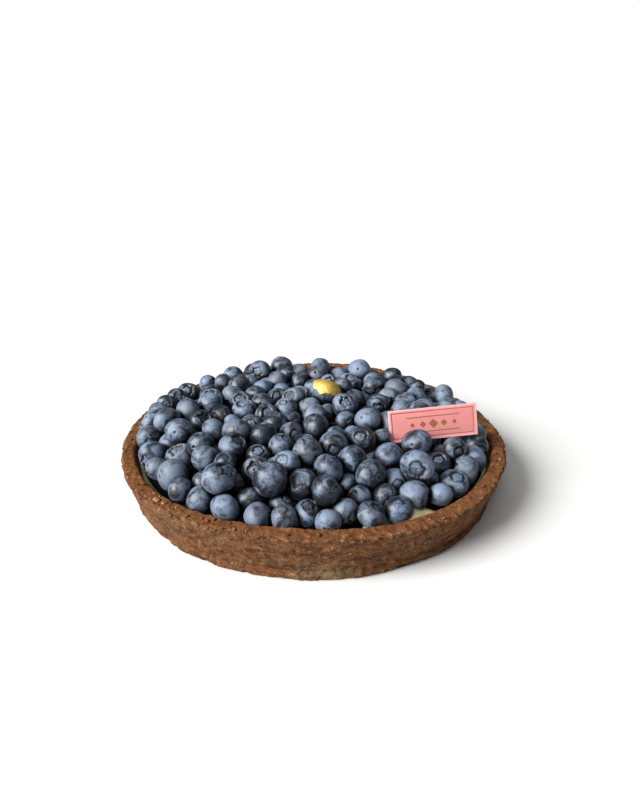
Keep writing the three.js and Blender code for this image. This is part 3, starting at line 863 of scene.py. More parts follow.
def shape_berry(kind, seed, crown_width):
    """Models one blueberry of unit radius, crown up, as points, faces and marks for its material."""
    lip, groove, sunk, star, torn, width, flatness = BERRY_KINDS[kind]
    deselect_all()
    bpy.ops.mesh.primitive_uv_sphere_add(segments=40, ring_count=34, radius=MM)
    ball = added_piece("berry_" + kind)
    start = points_of(ball.data)
    turn, _ = polar(start)
    share = np.arccos(np.clip(start[:, 2] / np.linalg.norm(start, axis=1), -1, 1)) / math.pi
    angle = np.radians(np.interp(share, RING_SHARES, RING_ANGLES))
    out = np.stack([np.sin(angle) * np.cos(turn), np.sin(angle) * np.sin(turn), np.cos(angle)], 1)
    across = np.sin(angle)
    top = angle < math.pi / 2
    around = level_direction(turn)
    uneven = 1 + 0.45 * np.sin(turn + 2.3 * seed) + 0.3 * np.sin(2 * turn + 1.1 * seed)
    lobes = uneven * (0.5 + 0.5 * np.cos(5 * turn + seed + 0.6 * np.sin(2 * turn + seed)))
    rags = 0.7 * noise_at(around, 0.4, seed) + 0.5 * noise_at(around, 0.16, seed + 1)
    edge = crown_width * width * (1 + star * (lobes - 0.5) + 0.20 * torn * rags)
    inside = across / edge
    # The groove is wide on one side and narrow on the other.
    side = 0.5 + 0.5 * np.cos(turn - 2.9 * seed)
    # The body is a little lumpy and its shoulders are full.
    body = 1 + 0.06 * noise_at(out, 0.9, seed + 3) + 0.03 * np.sin(2 * angle) ** 2
    points = out * body[:, None]
    points[:, 2] *= flatness
    # The crown: a torn lip, a deep groove inside it, and a disc with a small scar in its middle
    wall = smoothstep(1.02, 0.90, inside)
    disc_edge = 0.82 - 0.24 * side + 0.16 * rags
    disc = smoothstep(disc_edge, disc_edge - 0.12, inside)
    lift = lip * (0.5 + 0.8 * lobes + 0.9 * torn * rags) * bell(inside - 1.05, 0.09)
    lift -= groove * (0.6 + 0.6 * side) * wall * (1 - disc) + sunk * disc
    lift -= 0.03 * bell(across, 0.045)
    crumple = noise_at(out, 0.12, seed + 5)
    lift += disc * (0.012 + 0.1 * sunk) * crumple
    points[:, 2] += np.where(top, lift, 0)
    # A soft hollow round the crown, and the stem scar: a small round pit with a pale ring
    points[:, 2] -= np.where(top, 0.03 * bell(across, 0.5), 0)
    pit = -0.12 * bell(across, 0.08) + 0.02 * bell(across - 0.16, 0.04)
    points[:, 2] -= np.where(top, 0, pit)
    hollow = smoothstep(0.09, 0.16, sunk)
    # The dark mark: painted shade in the crown's groove and sunken disc, over the crown's own darker skin,
    # and the dark scars in the crown's middle and at the stem
    dark = smoothstep(1.0, 0.9, inside) * (1 - disc) * np.clip(0.5 + 0.5 * side + 0.4 * rags, 0, 1)
    dark += hollow * disc * np.clip(0.8 + 0.5 * crumple, 0, 1)
    dark = np.where(top, dark + 0.9 * bell(across, 0.035), 0.95 * bell(across, 0.10))
    pale_disc = np.where(top, disc * (1 - hollow), 0)
    lip_mark = bell(inside - 1.07, 0.07) * np.clip(0.2 + 0.9 * rags, 0, 1)
    pale = np.where(top, 0.45 * lip_mark, 0.4 * bell(across - 0.17, 0.035))
    marks = np.stack([dark, pale_disc, pale, np.ones_like(dark)], 1)
    faces = [tuple(p.vertices) for p in ball.data.polygons]
    bpy.data.objects.remove(ball)
    return {"points": points, "faces": faces, "marks": np.clip(marks, 0, 1)}


def berry_turn(crown, spin):
    """The turn that takes +z to the crown's direction, after a spin about it"""
    lift = Vector((0, 0, 1)).rotation_difference(Vector(crown)).to_matrix()
    return np.array(lift @ Matrix.Rotation(spin, 3, "Z"))


def occlusion_share(points, berry, plan):
    """How much the neighbouring berries close in on each point of a berry, from 0 to 1: an occlusion share
    that the skin turns into rubbed bloom and painted shade
    """
    middle = berry["place"]
    out = points - middle
    out /= np.linalg.norm(out, axis=1)[:, None]
    open_share = np.ones(len(points))
    for other in plan:
        near = berry["radius"] + other["radius"] + 7
        if other is berry or np.linalg.norm(other["place"] - middle) > near:
            continue
        towards = other["place"] - points
        distance = np.maximum(np.linalg.norm(towards, axis=1), other["radius"])
        level = np.clip((out * towards).sum(1) / distance, 0, 1)
        open_share *= 1 - level * (other["radius"] / distance) ** 2
    return 1 - open_share


def join_berries(name, shape, berries, plan, random):
    """All berries of one kind as one piece, each with its own turn, bloom and tone"""
    points, faces, marks, places, tints, buried = [], [], [], [], [], []
    for number, berry in enumerate(berries):
        stretch = 1 + random.uniform(-0.09, 0.09, 3)
        local = shape["points"] * stretch
        turned = local @ berry_turn(berry["crown"], random.uniform(0, 2 * math.pi)).T
        points.append(turned * berry["radius"] + berry["place"])
        buried.append(occlusion_share(points[-1], berry, plan))
        first = number * len(local)
        faces += [tuple(v + first for v in face) for face in shape["faces"]]
        marks.append(shape["marks"])
        places.append(local * berry["radius"] + random.uniform(-500, 500, 3))
        tints.append(np.tile((*berry["tint"], 1.0), (len(local), 1)))
    piece = new_piece(name, np.concatenate(points), faces)
    add_attribute(piece.data, "marks", "FLOAT_COLOR", np.concatenate(marks))
    add_attribute(piece.data, "skin_place", "FLOAT_VECTOR", np.concatenate(places))
    add_attribute(piece.data, "tint", "FLOAT_COLOR", np.concatenate(tints))
    # The occlusion share, which the skin reads for rubbed bloom and painted shade
    add_attribute(piece.data, "buried", "FLOAT", np.concatenate(buried))
    return smooth(piece)


def tint_berry(random):
    """How much bloom a berry has, how grey it is, and how violet"""
    bloom = random.choice(BLOOM_LEVELS, p=BLOOM_CHANCES) + random.uniform(-0.1, 0.1)
    return float(np.clip(bloom, 0, 1)), random.uniform(0, 0.6), random.uniform(0.12, 1)


def turn_some_crowns(plan, random):
    """Turns the crowns of some berries towards the front, as the tart was photographed."""
    for berry in plan:
        if random.uniform() < TURNED_CROWNS:
            towards = np.array((0, -0.75, 0.6)) + random.normal(0, 0.42, 3)
            berry["crown"] = towards / np.linalg.norm(towards)


# The crust's relief


def crag_at(turn, height):
    """The uneven wall of the solid: waves round the tart"""
    broad = np.sin(5 * turn + 0.7) + np.sin(9 * turn + 2.1 + 0.09 * height)
    fine = np.sin(19 * turn + 0.35 * height) + np.sin(31 * turn - 0.5 * height + 1.3)
    return 0.6 * (0.3 * broad + 0.3 * fine)


def rim_wave_at(turn):
    """How far the rim rises and falls: highest at the back, lowest at the sides"""
    broad = 1.5 * np.sin(turn) - 1.7 * np.cos(2 * turn)
    fine = 0.12 * np.sin(11 * turn) + 0.08 * np.sin(29 * turn)
    return broad + 0.95 * (np.sin(4 * turn + 2.6) + fine)


def outer_at(height):
    return BASE_RADIUS + (RIM_RADIUS - BASE_RADIUS) * height / WALL_HEIGHT


def hollow_at(height):
    share = (height - FLOOR_THICKNESS) / (WALL_HEIGHT - EDGE_ROUNDING - FLOOR_THICKNESS)
    return HOLLOW_RADIUS - INNER_DRAFT * (1 - share)


def arc(middle, reach, start, end, count):
    """Points on an arc in the x-z plane, between two angles in degrees"""
    angles = np.radians(np.linspace(start, end, count))
    return [(middle[0] + reach[0] * math.cos(a), middle[1] + reach[1] * math.sin(a)) for a in angles]


def crust_profile():
    """The crust's outline from the middle of its underside over the rim to the middle of its floor"""
    shoulder = WALL_HEIGHT - EDGE_ROUNDING
    outer, inner = RIM_RADIUS - EDGE_ROUNDING, HOLLOW_RADIUS + EDGE_ROUNDING
    rounding = EDGE_ROUNDING, EDGE_ROUNDING
    points = [(r, 0.0) for r in (0, 50, 85, 100, 104.5)]
    points += arc((BASE_RADIUS - 1.5, 0.9), (1.5, 0.9), -90, 0, 4)
    points += [(outer_at(z), z) for z in np.linspace(1.5, shoulder, 30)]
    points += arc((outer, shoulder), rounding, 0, 90, 5)[1:]
    points += [(r, WALL_HEIGHT) for r in np.linspace(outer, inner, 9)[1:]]
    points += arc((inner, shoulder), rounding, 90, 180, 5)[1:]
    points += [(hollow_at(z), z) for z in (*np.linspace(shoulder, 18, 9)[1:], 14, 9, FLOOR_THICKNESS)]
    points += [(r, FLOOR_THICKNESS) for r in (80, 40, 0)]
    return points


def spin_profile(name, profile, steps):
    """Spins an outline in the x-z plane about the z axis into a closed piece."""
    edges = [(i, i + 1) for i in range(len(profile) - 1)]
    piece = new_piece(name, [(r, 0, z) for r, z in profile], [], edges)
    bpy.ops.object.mode_set(mode="EDIT")
    bpy.ops.mesh.select_all(action="SELECT")
    bpy.ops.mesh.spin(steps=steps, angle=2 * math.pi, center=(0, 0, 0), axis=(0, 0, 1))
    bpy.ops.mesh.select_all(action="SELECT")
    bpy.ops.mesh.remove_doubles(threshold=1e-6)
    bpy.ops.mesh.normals_make_consistent(inside=False)
    bpy.ops.object.mode_set(mode="OBJECT")
    return piece


# Cracks in the wall: from and to a turn in degrees, and from and to a height
FRONT_CRACK = (-107, -87.5, 18.9, 17.6)
WALL_CRACKS = (
    (-84, -70, 12.5, 14.0), (-130, -116, 15.0, 12.0), (-62, -48, 16.0, 14.5), (20, 42, 15.0, 16.5),
    (120, 150, 11.0, 13.5), (-150, -139, 19.0, 17.5), (-98, -90, 9.0, 8.5), (-45, -33, 9.5, 11.0),
)


def crack_at(points, from_turn, to_turn, from_height, to_height, width, wobble_seed):
    """How deep a thin level crack in the wall is at each point, from 0 to 1"""
    turn = np.degrees(polar(points)[0])
    share = (turn - from_turn) / (to_turn - from_turn)
    height = from_height + (to_height - from_height) * share
    height += 0.7 * noise_at(np.stack([turn, 0 * turn, 0 * turn], 1), 4, wobble_seed)
    ends = smoothstep(0, 0.12, share) * smoothstep(1, 0.88, share)
    return ends * bell(points[:, 2] - height, width)


def rough_crumb(points):
    """How high the baked crumb stands, from lumps down to grains, and how deep its pits are"""
    stretched = points * (0.45, 0.45, 1.0)
    lumps = noise_at(points, 7, 1, 3)
    crumbs = noise_at(points, 2.4, 2, 4)
    near, second = cells_at(points, 2.1, 3)
    pits = smoothstep(0.28, 0.60, noise_at(points, 1.8, 4, 2))
    slits = smoothstep(0.30, 0.56, noise_at(stretched, 1.1, 6, 2))
    return 0.35 * lumps + 0.5 * crumbs + 0.35 * (0.5 - near) - 0.55 * pits - 0.45 * slits


def crust_relief(points, normals, depth):
    """Moves the crust's points, for lumps, pits, cracks and chips. Returns them and, for the material,
    their relief, for painted light and shade, the rim's outer edge and the rim's top.
    """
    turn, reach = polar(points)
    height = points[:, 2]
    outside = (height > 0.05) & (reach > outer_at(height) - 1.2)
    rim = smoothstep(24.5, 26, height)
    baked = np.where(outside | (height > 18), 1.0, 0.0) * smoothstep(0.0, 1.0, height)
    relief = rough_crumb(points)
    cracks = crack_at(points, *FRONT_CRACK, 0.5, 5)
    for number, crack in enumerate(WALL_CRACKS):
        cracks += 0.8 * crack_at(points, *crack, 0.4, 6 + number)
    relief = np.maximum(relief, -0.45) - 0.8 * cracks
    moved = points + normals * (depth * relief * baked)[:, None]
    # The solid's own waves, and the hollow's place a little behind the middle
    level = level_direction(turn)
    moved += level * np.where(outside, crag_at(turn, height), 0)[:, None]
    moved[:, 2] += rim_wave_at(turn) * smoothstep(12, 27, height)
    inner = smoothstep(RIM_RADIUS - EDGE_ROUNDING, HOLLOW_RADIUS + EDGE_ROUNDING, reach) * (height > 4)
    moved[:, 1] += HOLLOW_SHIFT * inner
    # Chips out of both edges of the rim and of the foot
    chip = smoothstep(0.10, 0.5, noise_at(points, 3.2, 11, 3))
    edge_out = bell(reach - RIM_RADIUS, 1.7) * rim
    edge_in = bell(reach - HOLLOW_RADIUS, 1.5) * rim
    moved[:, 2] -= chip * (0.8 * edge_out + 0.35 * edge_in)
    moved += level * (chip * (0.25 * edge_in - 0.7 * edge_out))[:, None]
    foot = bell(height - 1.0, 1.8) * outside
    gouge = bell(np.degrees(turn) + 66, 6.5)
    broken = smoothstep(0.1, 0.5, noise_at(points, 4, 12, 3)) + 0.4 * noise_at(points, 1.8, 13)
    moved -= level * (foot * (1.3 * gouge + 0.9 * broken))[:, None]
    moved[:, 2] = np.maximum(moved[:, 2], 0.0)
    crest = bell(reach - RIM_RADIUS + 0.8, 1.5) * rim
    top = smoothstep(RIM_RADIUS - 0.6, RIM_RADIUS - 2.2, reach) * rim
    # The material's marks: the relief, for painted light and shade; the rim's outer edge, for a painted
    # highlight; the rim's top
    relief_crest_top = np.stack([0.5 + 0.5 * relief - 0.2 * chip * edge_out, crest, top, 1 + 0 * top], 1)
    return moved, np.clip(relief_crest_top, 0, 1)


# Operators


class TART_OT_crust(bpy.types.Operator):
    """Makes the baked crust, with its crumbly rim, pits and cracks"""

    bl_idname = "tart.crust"
    bl_label = "Crust"

    def execute(self, context):
        piece = spin_profile("baked_crust", crust_profile(), 900)
        depth = context.scene.tart_sizes.crust_relief / MM
        points, relief_crest_top = crust_relief(points_of(piece.data), normals_of(piece.data), depth)
        set_points(piece.data, points)
        add_attribute(piece.data, "baked", "FLOAT_COLOR", relief_crest_top)
        smooth(piece)
        finish_piece(piece, cocoa_shortcrust(context.scene.tart_colours), "crust", "crust_shell")
        return {"FINISHED"}


def crumb_shape(seed):
    """One crumb of unit radius: a small ball of few faces, made rough"""
    deselect_all()
    bpy.ops.mesh.primitive_ico_sphere_add(subdivisions=2, radius=MM)
    ball = added_piece("crumb")
    points = points_of(ball.data)
    points *= (1 + 0.45 * noise_at(points, 0.8, seed))[:, None]
    faces = [tuple(p.vertices) for p in ball.data.polygons]
    bpy.data.objects.remove(ball)
    return points, faces


def lay_crumbs(name, places, sizes, ground, random):
    """Loose crumbs laid on a piece, joined into one"""
    shapes = [crumb_shape(seed) for seed in (1, 2, 3, 4)]
    points, faces = [], []
    for (x, y), size in zip(places, sizes):
        hit = ground.ray_cast(Vector((x, y, 80)) * MM, Vector((0, 0, -1)))[0]
        if hit is None:
            continue
        local, own = shapes[random.integers(len(shapes))]
        turn = np.array(Vector(random.normal(size=3)).to_track_quat("Z", "Y").to_matrix())
        scaled = (local * random.uniform(0.7, 1.25, 3)) @ turn.T * size
        middle = np.array(hit) / MM + (0, 0, 0.45 * size)
        faces += [tuple(v + len(points) * len(local) for v in face) for face in own]
        points.append(scaled + middle)
    return new_piece(name, np.concatenate(points), faces)


# Where the paler crumbs lie in groups: turn in degrees, reach, how many, largest
PALE_GROUPS = (
    (-134.7, 110.5, 4, 1.3), (-137.5, 107.8, 2, 0.8), (-128.6, 108.5, 2, 0.7),
    (-107.6, 113.0, 2, 0.6), (-60, 110, 1, 0.6), (-20, 111, 2, 0.7),
    (60, 110, 3, 0.9), (110, 111, 2, 0.8), (170, 110, 2, 0.8),
)


class TART_OT_crumbs(bpy.types.Operator):
    """Scatters loose crumbs of crust and of paler dough on the rim"""

    bl_idname = "tart.crumbs"
    bl_label = "Crumbs"

    def execute(self, context):
        random = np.random.default_rng(CRUMB_DRAWS)
        colours = context.scene.tart_colours
        crust = bpy.data.objects["baked_crust"]
        ground = BVHTree.FromObject(crust, bpy.context.evaluated_depsgraph_get())
        count = context.scene.tart_sizes.crumb_count
        turns = random.uniform(0, 2 * math.pi, count)
        reaches = random.uniform(HOLLOW_RADIUS + 1, RIM_RADIUS - 1.2, count)
        places = on_circle(turns, reaches)
        sizes = random.uniform(0.3, 0.95, count)
        brown = lay_crumbs("crust_crumbs", places, sizes, ground, random)
        relief_crest_top = np.tile((0.55, 0.0, 0.5, 1.0), (len(brown.data.vertices), 1))
        add_attribute(brown.data, "baked", "FLOAT_COLOR", relief_crest_top)
        finish_piece(brown, bpy.data.materials["cocoa_shortcrust"], "crust")
        turns, reaches, sizes = [], [], []
        for turn, reach, many, largest in PALE_GROUPS:
            turns += list(np.radians(turn + random.normal(0, 1.4, many)))
            reaches += list(reach + random.normal(0, 0.7, many))
            sizes += list(random.uniform(0.35, largest, many))
        reaches = np.clip(reaches, HOLLOW_RADIUS + 0.5, RIM_RADIUS - 0.8)
        places = on_circle(turns, reaches)
        pale = lay_crumbs("pale_crumbs", places, sizes, ground, random)
        finish_piece(pale, pale_dough(colours), "crust")
        return {"FINISHED"}


WINDOW_TURN = -65  # where the cream shows between the berries and the crust
CREAM_DROP = 3.6

# Where the berries have pushed the cream up: x, y, size and height
CREAM_MOUNDS = ((48.0, -89.5, 7.0, 5.8), (26.2, -82.0, 5.0, 4.4), (56.0, -84.0, 4.5, 2.0))


class TART_OT_cream(bpy.types.Operator):
    """Makes the pastry cream that shows between the berries and the crust"""

    bl_idname = "tart.cream"
    bl_label = "Cream"

    def execute(self, context):
        profile = [(0, CREAM_BOTTOM), (60, CREAM_BOTTOM), (hollow_at(CREAM_BOTTOM) - 0.6, CREAM_BOTTOM)]
        profile += [(hollow_at(z) - 0.6, z) for z in (10, 15, 18, CREAM_LEVEL)]
        profile += [(r, CREAM_LEVEL) for r in (*np.linspace(104, 78, 22), 60, 30, 0)]
        piece = spin_profile("soft_cream", profile, 320)
        points = points_of(piece.data)
        top = points[:, 2] > CREAM_LEVEL - 0.1
        spread = noise_at(points, 9, 21, 2)
        swirl = noise_at(points, 3.2, 22, 2)
        points[:, 2] += np.where(top, 0.9 * spread + 0.45 * swirl, 0)
        # It shows at the front right and lies lower elsewhere.
        turn = np.degrees(polar(points)[0])
        seen = np.exp(-(((turn - WINDOW_TURN) / 13) ** 4))
        points[:, 2] -= np.where(top, CREAM_DROP * (1 - seen), 0)
        for x, y, size, lift in CREAM_MOUNDS:
            away = np.hypot(points[:, 0] - x, points[:, 1] - y)
            points[:, 2] += np.where(top, lift * bell(away, size), 0)
        points[:, 1] += HOLLOW_SHIFT
        set_points(piece.data, points)
        smooth(piece)
        finish_piece(piece, pastry_cream(context.scene.tart_colours), "cream", "pastry_cream")
        return {"FINISHED"}


class TART_OT_heap(bpy.types.Operator):
    """Makes the heap of blueberries over a dark core"""

    bl_idname = "tart.heap"
    bl_label = "Blueberries"

    def execute(self, context):
        self.make_core()
        self.make_berries(context)
        return {"FINISHED"}

    def make_core(self):
        # A near-black dome under the berries, as painted shade in the gaps between them
        core = spin_profile("heap_core", CORE_PROFILE, 96)
        apply_modifier(core, "SUBSURF", levels=1, render_levels=1)
        points = points_of(core.data)
        turn, reach = polar(points)
        window = bell(np.degrees(turn) - WINDOW_TURN + 1, 10)
        points[:, :2] *= (1 - 0.17 * window * smoothstep(60, 100, reach))[:, None]
        points[:, 2] += 1.2 * noise_at(points, 6, 41) * (points[:, 2] > 22)
        points[:, 1] += HOLLOW_SHIFT
        set_points(core.data, points)
        finish_piece(smooth(core), shaded_skin(), "berries")

    def make_berries(self, context):
        crown_width = context.scene.tart_sizes.crown_width
        random = np.random.default_rng(HEAP_DRAWS)
        plan, named = make_heap_plan()
        hug_crust(plan)
        fill_gaps(plan, random)
        swell_at_the_left(plan)
        turn_some_crowns(plan, random)
        gilded, before_plaque = named["gilded"], named["before_plaque"]
        gilded["crown"] = np.array(GILDED_CROWN)
        gilded["place"] += (0, 0, GILDED_SINK)
        before_plaque["crown"] = np.array(BEFORE_PLAQUE_CROWN)
        before_plaque["place"] += (0, 0, BEFORE_PLAQUE_SINK)
        plan = [berry for berry in plan if shows(berry, plan)]
        skin = bloomed_skin(context.scene.tart_colours)
        kinds = {kind: [] for kind in BERRY_KINDS}
        for number, berry in enumerate(b for b in plan if b is not gilded):
            berry["tint"] = BEFORE_PLAQUE_TINT if berry is before_plaque else tint_berry(random)
            kinds[list(kinds)[number % len(kinds)]].append(berry)
        gilded["tint"] = GILDED_TINT
        for number, (kind, berries) in enumerate(kinds.items()):
            shape = shape_berry(kind, 1.7 * number + 0.4, crown_width)
            piece = join_berries("blueberries_" + kind, shape, berries, plan, random)
            finish_piece(piece, skin, "berries", "blueberry_heap")
        shape = shape_berry("broad", 4.4, crown_width)
        piece = join_berries("gilded_blueberry", shape, [gilded], plan, random)
        finish_piece(piece, skin, "berries", "blueberry_heap")


LEAF_RINGS = 44
LEAF_SPOKES = 150
LEAF_LIFT = 0.12  # how far the leaf stands off the berry's skin


def leaf_edge_at(turn):
    """How ragged the flake is: its reach at a turn, as a share of the whole"""
    broad = 0.05 * np.sin(3 * turn + 0.6) + 0.05 * np.sin(7 * turn + 2)
    return 0.92 + broad - 0.04 * np.maximum(0, np.sin(5 * turn))


class TART_OT_leaf(bpy.types.Operator):
    """Makes the crinkled flake of gold leaf on one berry"""

    bl_idname = "tart.leaf"
    bl_label = "Gold leaf"

    def execute(self, context):
        middle = (Vector(SET_BERRIES["gilded"][:3]) + Vector((0, 0, GILDED_SINK))) * MM
        berry = bpy.data.objects["gilded_blueberry"]
        ground = BVHTree.FromObject(berry, context.evaluated_depsgraph_get())
        facing = Vector(LEAF_FACING).normalized()
        side = Vector((0, 0, 1)).cross(facing).normalized()
        other = facing.cross(side)
        turns = np.linspace(0, 2 * math.pi, LEAF_SPOKES, endpoint=False)
        outs = [np.array(facing)]
        for ring in range(1, LEAF_RINGS + 1):
            for turn in turns:
                jag = noise.fractal(Vector((math.cos(turn), math.sin(turn), 3.3)) * 4, 1.0, 2.0, 3)
                notch = 0.6 * bell(turn - 0.35, 0.13)
                edge = leaf_edge_at(turn) + 0.06 * jag - notch
                angle = math.radians(LEAF_REACH) * ring / LEAF_RINGS * edge
                flat = side * math.cos(turn) + other * math.sin(turn)
                outs.append(np.array(facing * math.cos(angle) + flat * math.sin(angle)))
        outs = np.array(outs)
        skin = [ground.ray_cast(middle + Vector(out) * 0.03, Vector(-out))[0] for out in outs]
        # The leaf lies on the skin, with soft folds and fine creases.
        folds = 0.25 * np.maximum(0, noise_at(outs, 0.45, 51, 2))
        creases = 0.10 * np.abs(noise_at(outs, 0.14, 52, 2))
        points = np.array(skin) / MM + outs * (LEAF_LIFT + folds + creases)[:, None]
        piece = new_piece("gold_flake", points, self.leaf_faces())
        apply_modifier(piece, "SOLIDIFY", thickness=context.scene.tart_sizes.leaf_thickness, offset=1)
        finish_piece(smooth(piece), gold_leaf(context.scene.tart_colours), "gold", "gold_leaf")
        return {"FINISHED"}

    def leaf_faces(self):
        """Triangles round the middle, and rings of quads round them"""

        def at(ring, spoke):
            return 1 + (ring - 1) * LEAF_SPOKES + spoke % LEAF_SPOKES

        faces = [(0, at(1, s), at(1, s + 1)) for s in range(LEAF_SPOKES)]
        for ring in range(1, LEAF_RINGS):
            for s in range(LEAF_SPOKES):
                faces.append((at(ring, s), at(ring + 1, s), at(ring + 1, s + 1), at(ring, s + 1)))
        return faces


# The plaque's face, from its edge inwards, as widths and depths: a flat border, a groove and a raised face
FACE_STEPS = ((1.5, 0.0), (0.15, 0.25), (0.35, 0.0), (0.15, -0.25))
LOZENGES = ((-12, 1.3), (-6, 1.8), (0, 2.6), (6, 1.8), (12, 1.3))  # place along the plaque and half width


def select_front(piece):
    """Selects a plaque's frontmost face and nothing else."""
    mesh = piece.data
    for part in (mesh.vertices, mesh.edges, mesh.polygons):
        part.foreach_set("select", [False] * len(part))
    bpy.context.tool_settings.mesh_select_mode = (False, False, True)
    front = min(mesh.polygons, key=lambda p: (round(p.center.y, 7), p.center.x**2 + p.center.z**2))
    front.select = True
    for vertex in front.vertices:
        mesh.vertices[vertex].select = True


class TART_OT_plaque(bpy.types.Operator):
    """Makes the pink chocolate plaque with its framed face and a plain ornament"""

    bl_idname = "tart.plaque"
    bl_label = "Plaque"

    def execute(self, context):
        colours = context.scene.tart_colours
        deselect_all()
        bpy.ops.mesh.primitive_cube_add(
            size=1, scale=(PLAQUE_LENGTH * MM, PLAQUE_THICKNESS * MM, PLAQUE_HEIGHT * MM)
        )
        piece = added_piece("cast_plaque")
        bpy.ops.object.transform_apply(location=False, rotation=False, scale=True)
        select_front(piece)
        bpy.ops.object.mode_set(mode="EDIT")
        bpy.ops.mesh.select_mode(type="FACE")
        for inset, push in FACE_STEPS:
            bpy.ops.mesh.inset(thickness=inset * MM, depth=0)
            bpy.ops.transform.translate(value=(0, push * MM, 0))
        bpy.ops.object.mode_set(mode="OBJECT")
        apply_modifier(
            piece, "BEVEL", width=0.08 * MM, segments=3, limit_method="ANGLE", angle_limit=math.radians(30)
        )
        points = points_of(piece.data)
        # The edges get a painted highlight, and the groove in the face painted shade
        rim = np.maximum(
            smoothstep(PLAQUE_LENGTH / 2 - 0.8, PLAQUE_LENGTH / 2 - 0.1, np.abs(points[:, 0])),
            smoothstep(PLAQUE_HEIGHT / 2 - 0.8, PLAQUE_HEIGHT / 2 - 0.1, np.abs(points[:, 2])),
        )
        groove = (points[:, 1] > -PLAQUE_THICKNESS / 2 + 0.15) & (points[:, 1] < 0) & (rim < 0.01)
        cast = np.stack([0.8 * rim, groove, 0 * rim, 1 + 0 * rim], 1)
        add_attribute(piece.data, "cast", "FLOAT_COLOR", cast)
        points[:, 2] += PLAQUE_HEIGHT / 2
        set_points(piece.data, points)
        in_metres = plaque_frame()
        in_metres[:3, 3] *= MM
        to_metres = Matrix(in_metres.tolist())
        activate(piece)
        bpy.ops.object.shade_smooth_by_angle(angle=math.radians(35))
        piece.data.transform(to_metres)
        finish_piece(piece, tinted_chocolate(colours), "plaque", "chocolate_plaque")
        finish_piece(self.make_ornament(to_metres), painted_cocoa_butter(colours), "plaque")
        return {"FINISHED"}

    def make_ornament(self, to_metres):
        """A generic row of lozenges between two fine lines"""
        outlines = []
        for x, half in LOZENGES:
            outlines.append([(x - half, 0), (x, -half), (x + half, 0), (x, half)])
        for z in (-4.2, 4.2):
            outlines.append([(-15, z - 0.2), (15, z - 0.2), (15, z + 0.2), (-15, z + 0.2)])
        points, faces = [], []
        for outline in outlines:
            faces.append(tuple(range(len(points), len(points) + len(outline))))
            points += [(x, -PLAQUE_THICKNESS / 2 - 0.07, z + PLAQUE_HEIGHT / 2) for x, z in outline]
        piece = new_piece("plaque_ornament", points, faces)
        apply_modifier(piece, "SOLIDIFY", thickness=0.16 * MM, offset=0)
        piece.data.transform(to_metres)
        return piece


WINDOW_DIRECTION = (0.77, 0.36, -0.55)

# The other lights: name, power, width in degrees and direction
ROOM_LIGHTS = (("ceiling", 0.65, 55, (0.1, 0.05, -1)), ("front_fill", 0.3, 14, (0.35, 0.84, -0.42)))


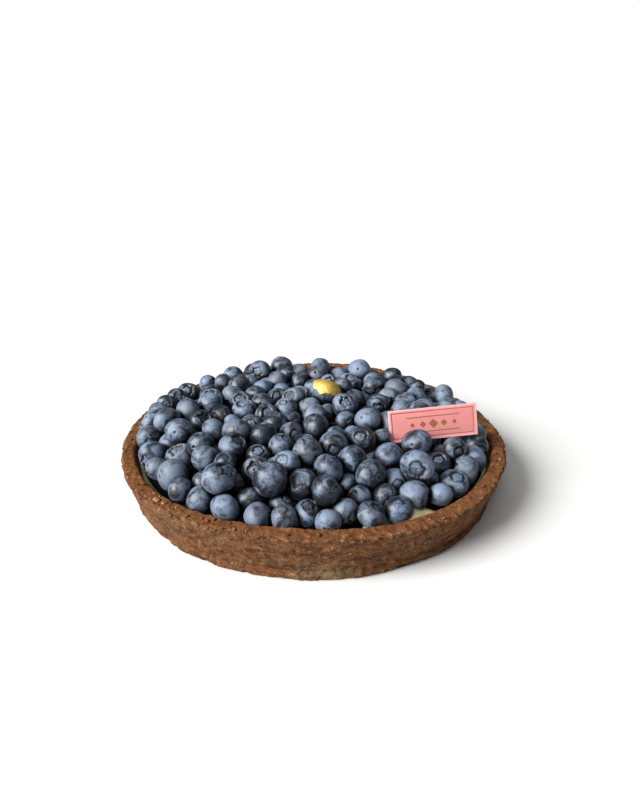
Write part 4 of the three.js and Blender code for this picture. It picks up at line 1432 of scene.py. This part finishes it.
class TART_OT_stage(bpy.types.Operator):
    """Sets the floor, the soft lights and the camera"""

    bl_idname = "tart.stage"
    bl_label = "Stage"

    def execute(self, context):
        self.make_floor(context)
        self.make_lights(context)
        self.make_camera(context)
        return {"FINISHED"}

    def make_floor(self, context):
        deselect_all()
        bpy.ops.mesh.primitive_plane_add(size=60)
        floor = added_piece("studio_floor")
        floor.data.materials.append(studio_floor(context.scene.tart_colours))

    def make_lights(self, context):
        world = bpy.data.worlds.new("soft_room")
        context.scene.world = world
        world.use_nodes = True
        tree = world.node_tree
        room = tree.nodes["Background"]
        room.inputs["Color"].default_value = rgba("#eef2fa")
        room.inputs["Strength"].default_value = 0.05
        # The camera sees the room white, as a lit backdrop.
        backdrop = add_node(tree, "ShaderNodeBackground", None, {"Color": (1, 1, 1, 1), "Strength": 1.0})
        seen = add_node(tree, "ShaderNodeLightPath").outputs["Is Camera Ray"]
        shares = {0: seen, 1: room.outputs[0], 2: backdrop.outputs[0]}
        both = add_node(tree, "ShaderNodeMixShader", None, shares)
        tree.links.new(both.outputs[0], tree.nodes["World Output"].inputs["Surface"])
        angle = context.scene.tart_sizes.window_angle
        for name, energy, width, direction in (("window", 6.2, angle, WINDOW_DIRECTION), *ROOM_LIGHTS):
            self.add_lamp(context, name, energy, width, direction)

    def add_lamp(self, context, name, energy, angle, direction):
        lamp = bpy.data.lights.new(name, "SUN")
        lamp.energy = energy
        lamp.angle = math.radians(angle)
        holder = bpy.data.objects.new(name, lamp)
        context.scene.collection.objects.link(holder)
        holder.rotation_euler = Vector(direction).to_track_quat("-Z", "Y").to_euler()

    def make_camera(self, context):
        camera = bpy.data.cameras.new("camera")
        holder = bpy.data.objects.new("camera", camera)
        context.scene.collection.objects.link(holder)
        context.scene.camera = holder
        elevation = math.radians(CAMERA_ELEVATION)
        away = CAMERA_DISTANCE * MM
        holder.location = (0, -away * math.cos(elevation), WALL_HEIGHT * MM + away * math.sin(elevation))
        holder.rotation_euler = (math.pi / 2 - elevation, 0, 0)
        camera.sensor_width = 36
        camera.lens = FOCAL_PIXELS * camera.sensor_width / FRAME_LONG_SIDE
        camera.shift_x = PIXELS_LEFT_OF_MIDDLE / FRAME_LONG_SIDE
        camera.shift_y = PIXELS_BELOW_MIDDLE / FRAME_LONG_SIDE
        camera.clip_start = 0.01
        context.scene.view_settings.view_transform = "Standard"


STEPS = (
    TART_OT_stage, TART_OT_crust, TART_OT_crumbs, TART_OT_cream, TART_OT_heap, TART_OT_leaf, TART_OT_plaque
)


class TART_PT_panel(bpy.types.Panel):
    """Lists the tart's pieces, sizes and colours"""

    bl_idname = "TART_PT_panel"
    bl_label = "Blueberry tart"
    bl_space_type = "VIEW_3D"
    bl_region_type = "UI"
    bl_category = "Tart"

    def draw(self, context):
        for step in STEPS:
            self.layout.operator(step.bl_idname)
        for group in (context.scene.tart_sizes, context.scene.tart_colours):
            for name in group.__annotations__:
                self.layout.prop(group, name)


CLASSES = (TartSizes, TartColours, *STEPS, TART_PT_panel)


def register():
    for cls in CLASSES:
        bpy.utils.register_class(cls)
    bpy.types.Scene.tart_sizes = PointerProperty(type=TartSizes)
    bpy.types.Scene.tart_colours = PointerProperty(type=TartColours)


def unregister():
    del bpy.types.Scene.tart_sizes
    del bpy.types.Scene.tart_colours
    for cls in reversed(CLASSES):
        bpy.utils.unregister_class(cls)


def main():
    """Makes every piece in order."""
    register()
    for step in STEPS:
        group, name = step.bl_idname.split(".")
        getattr(getattr(bpy.ops, group), name)()


if __name__ == "__main__":
    main()
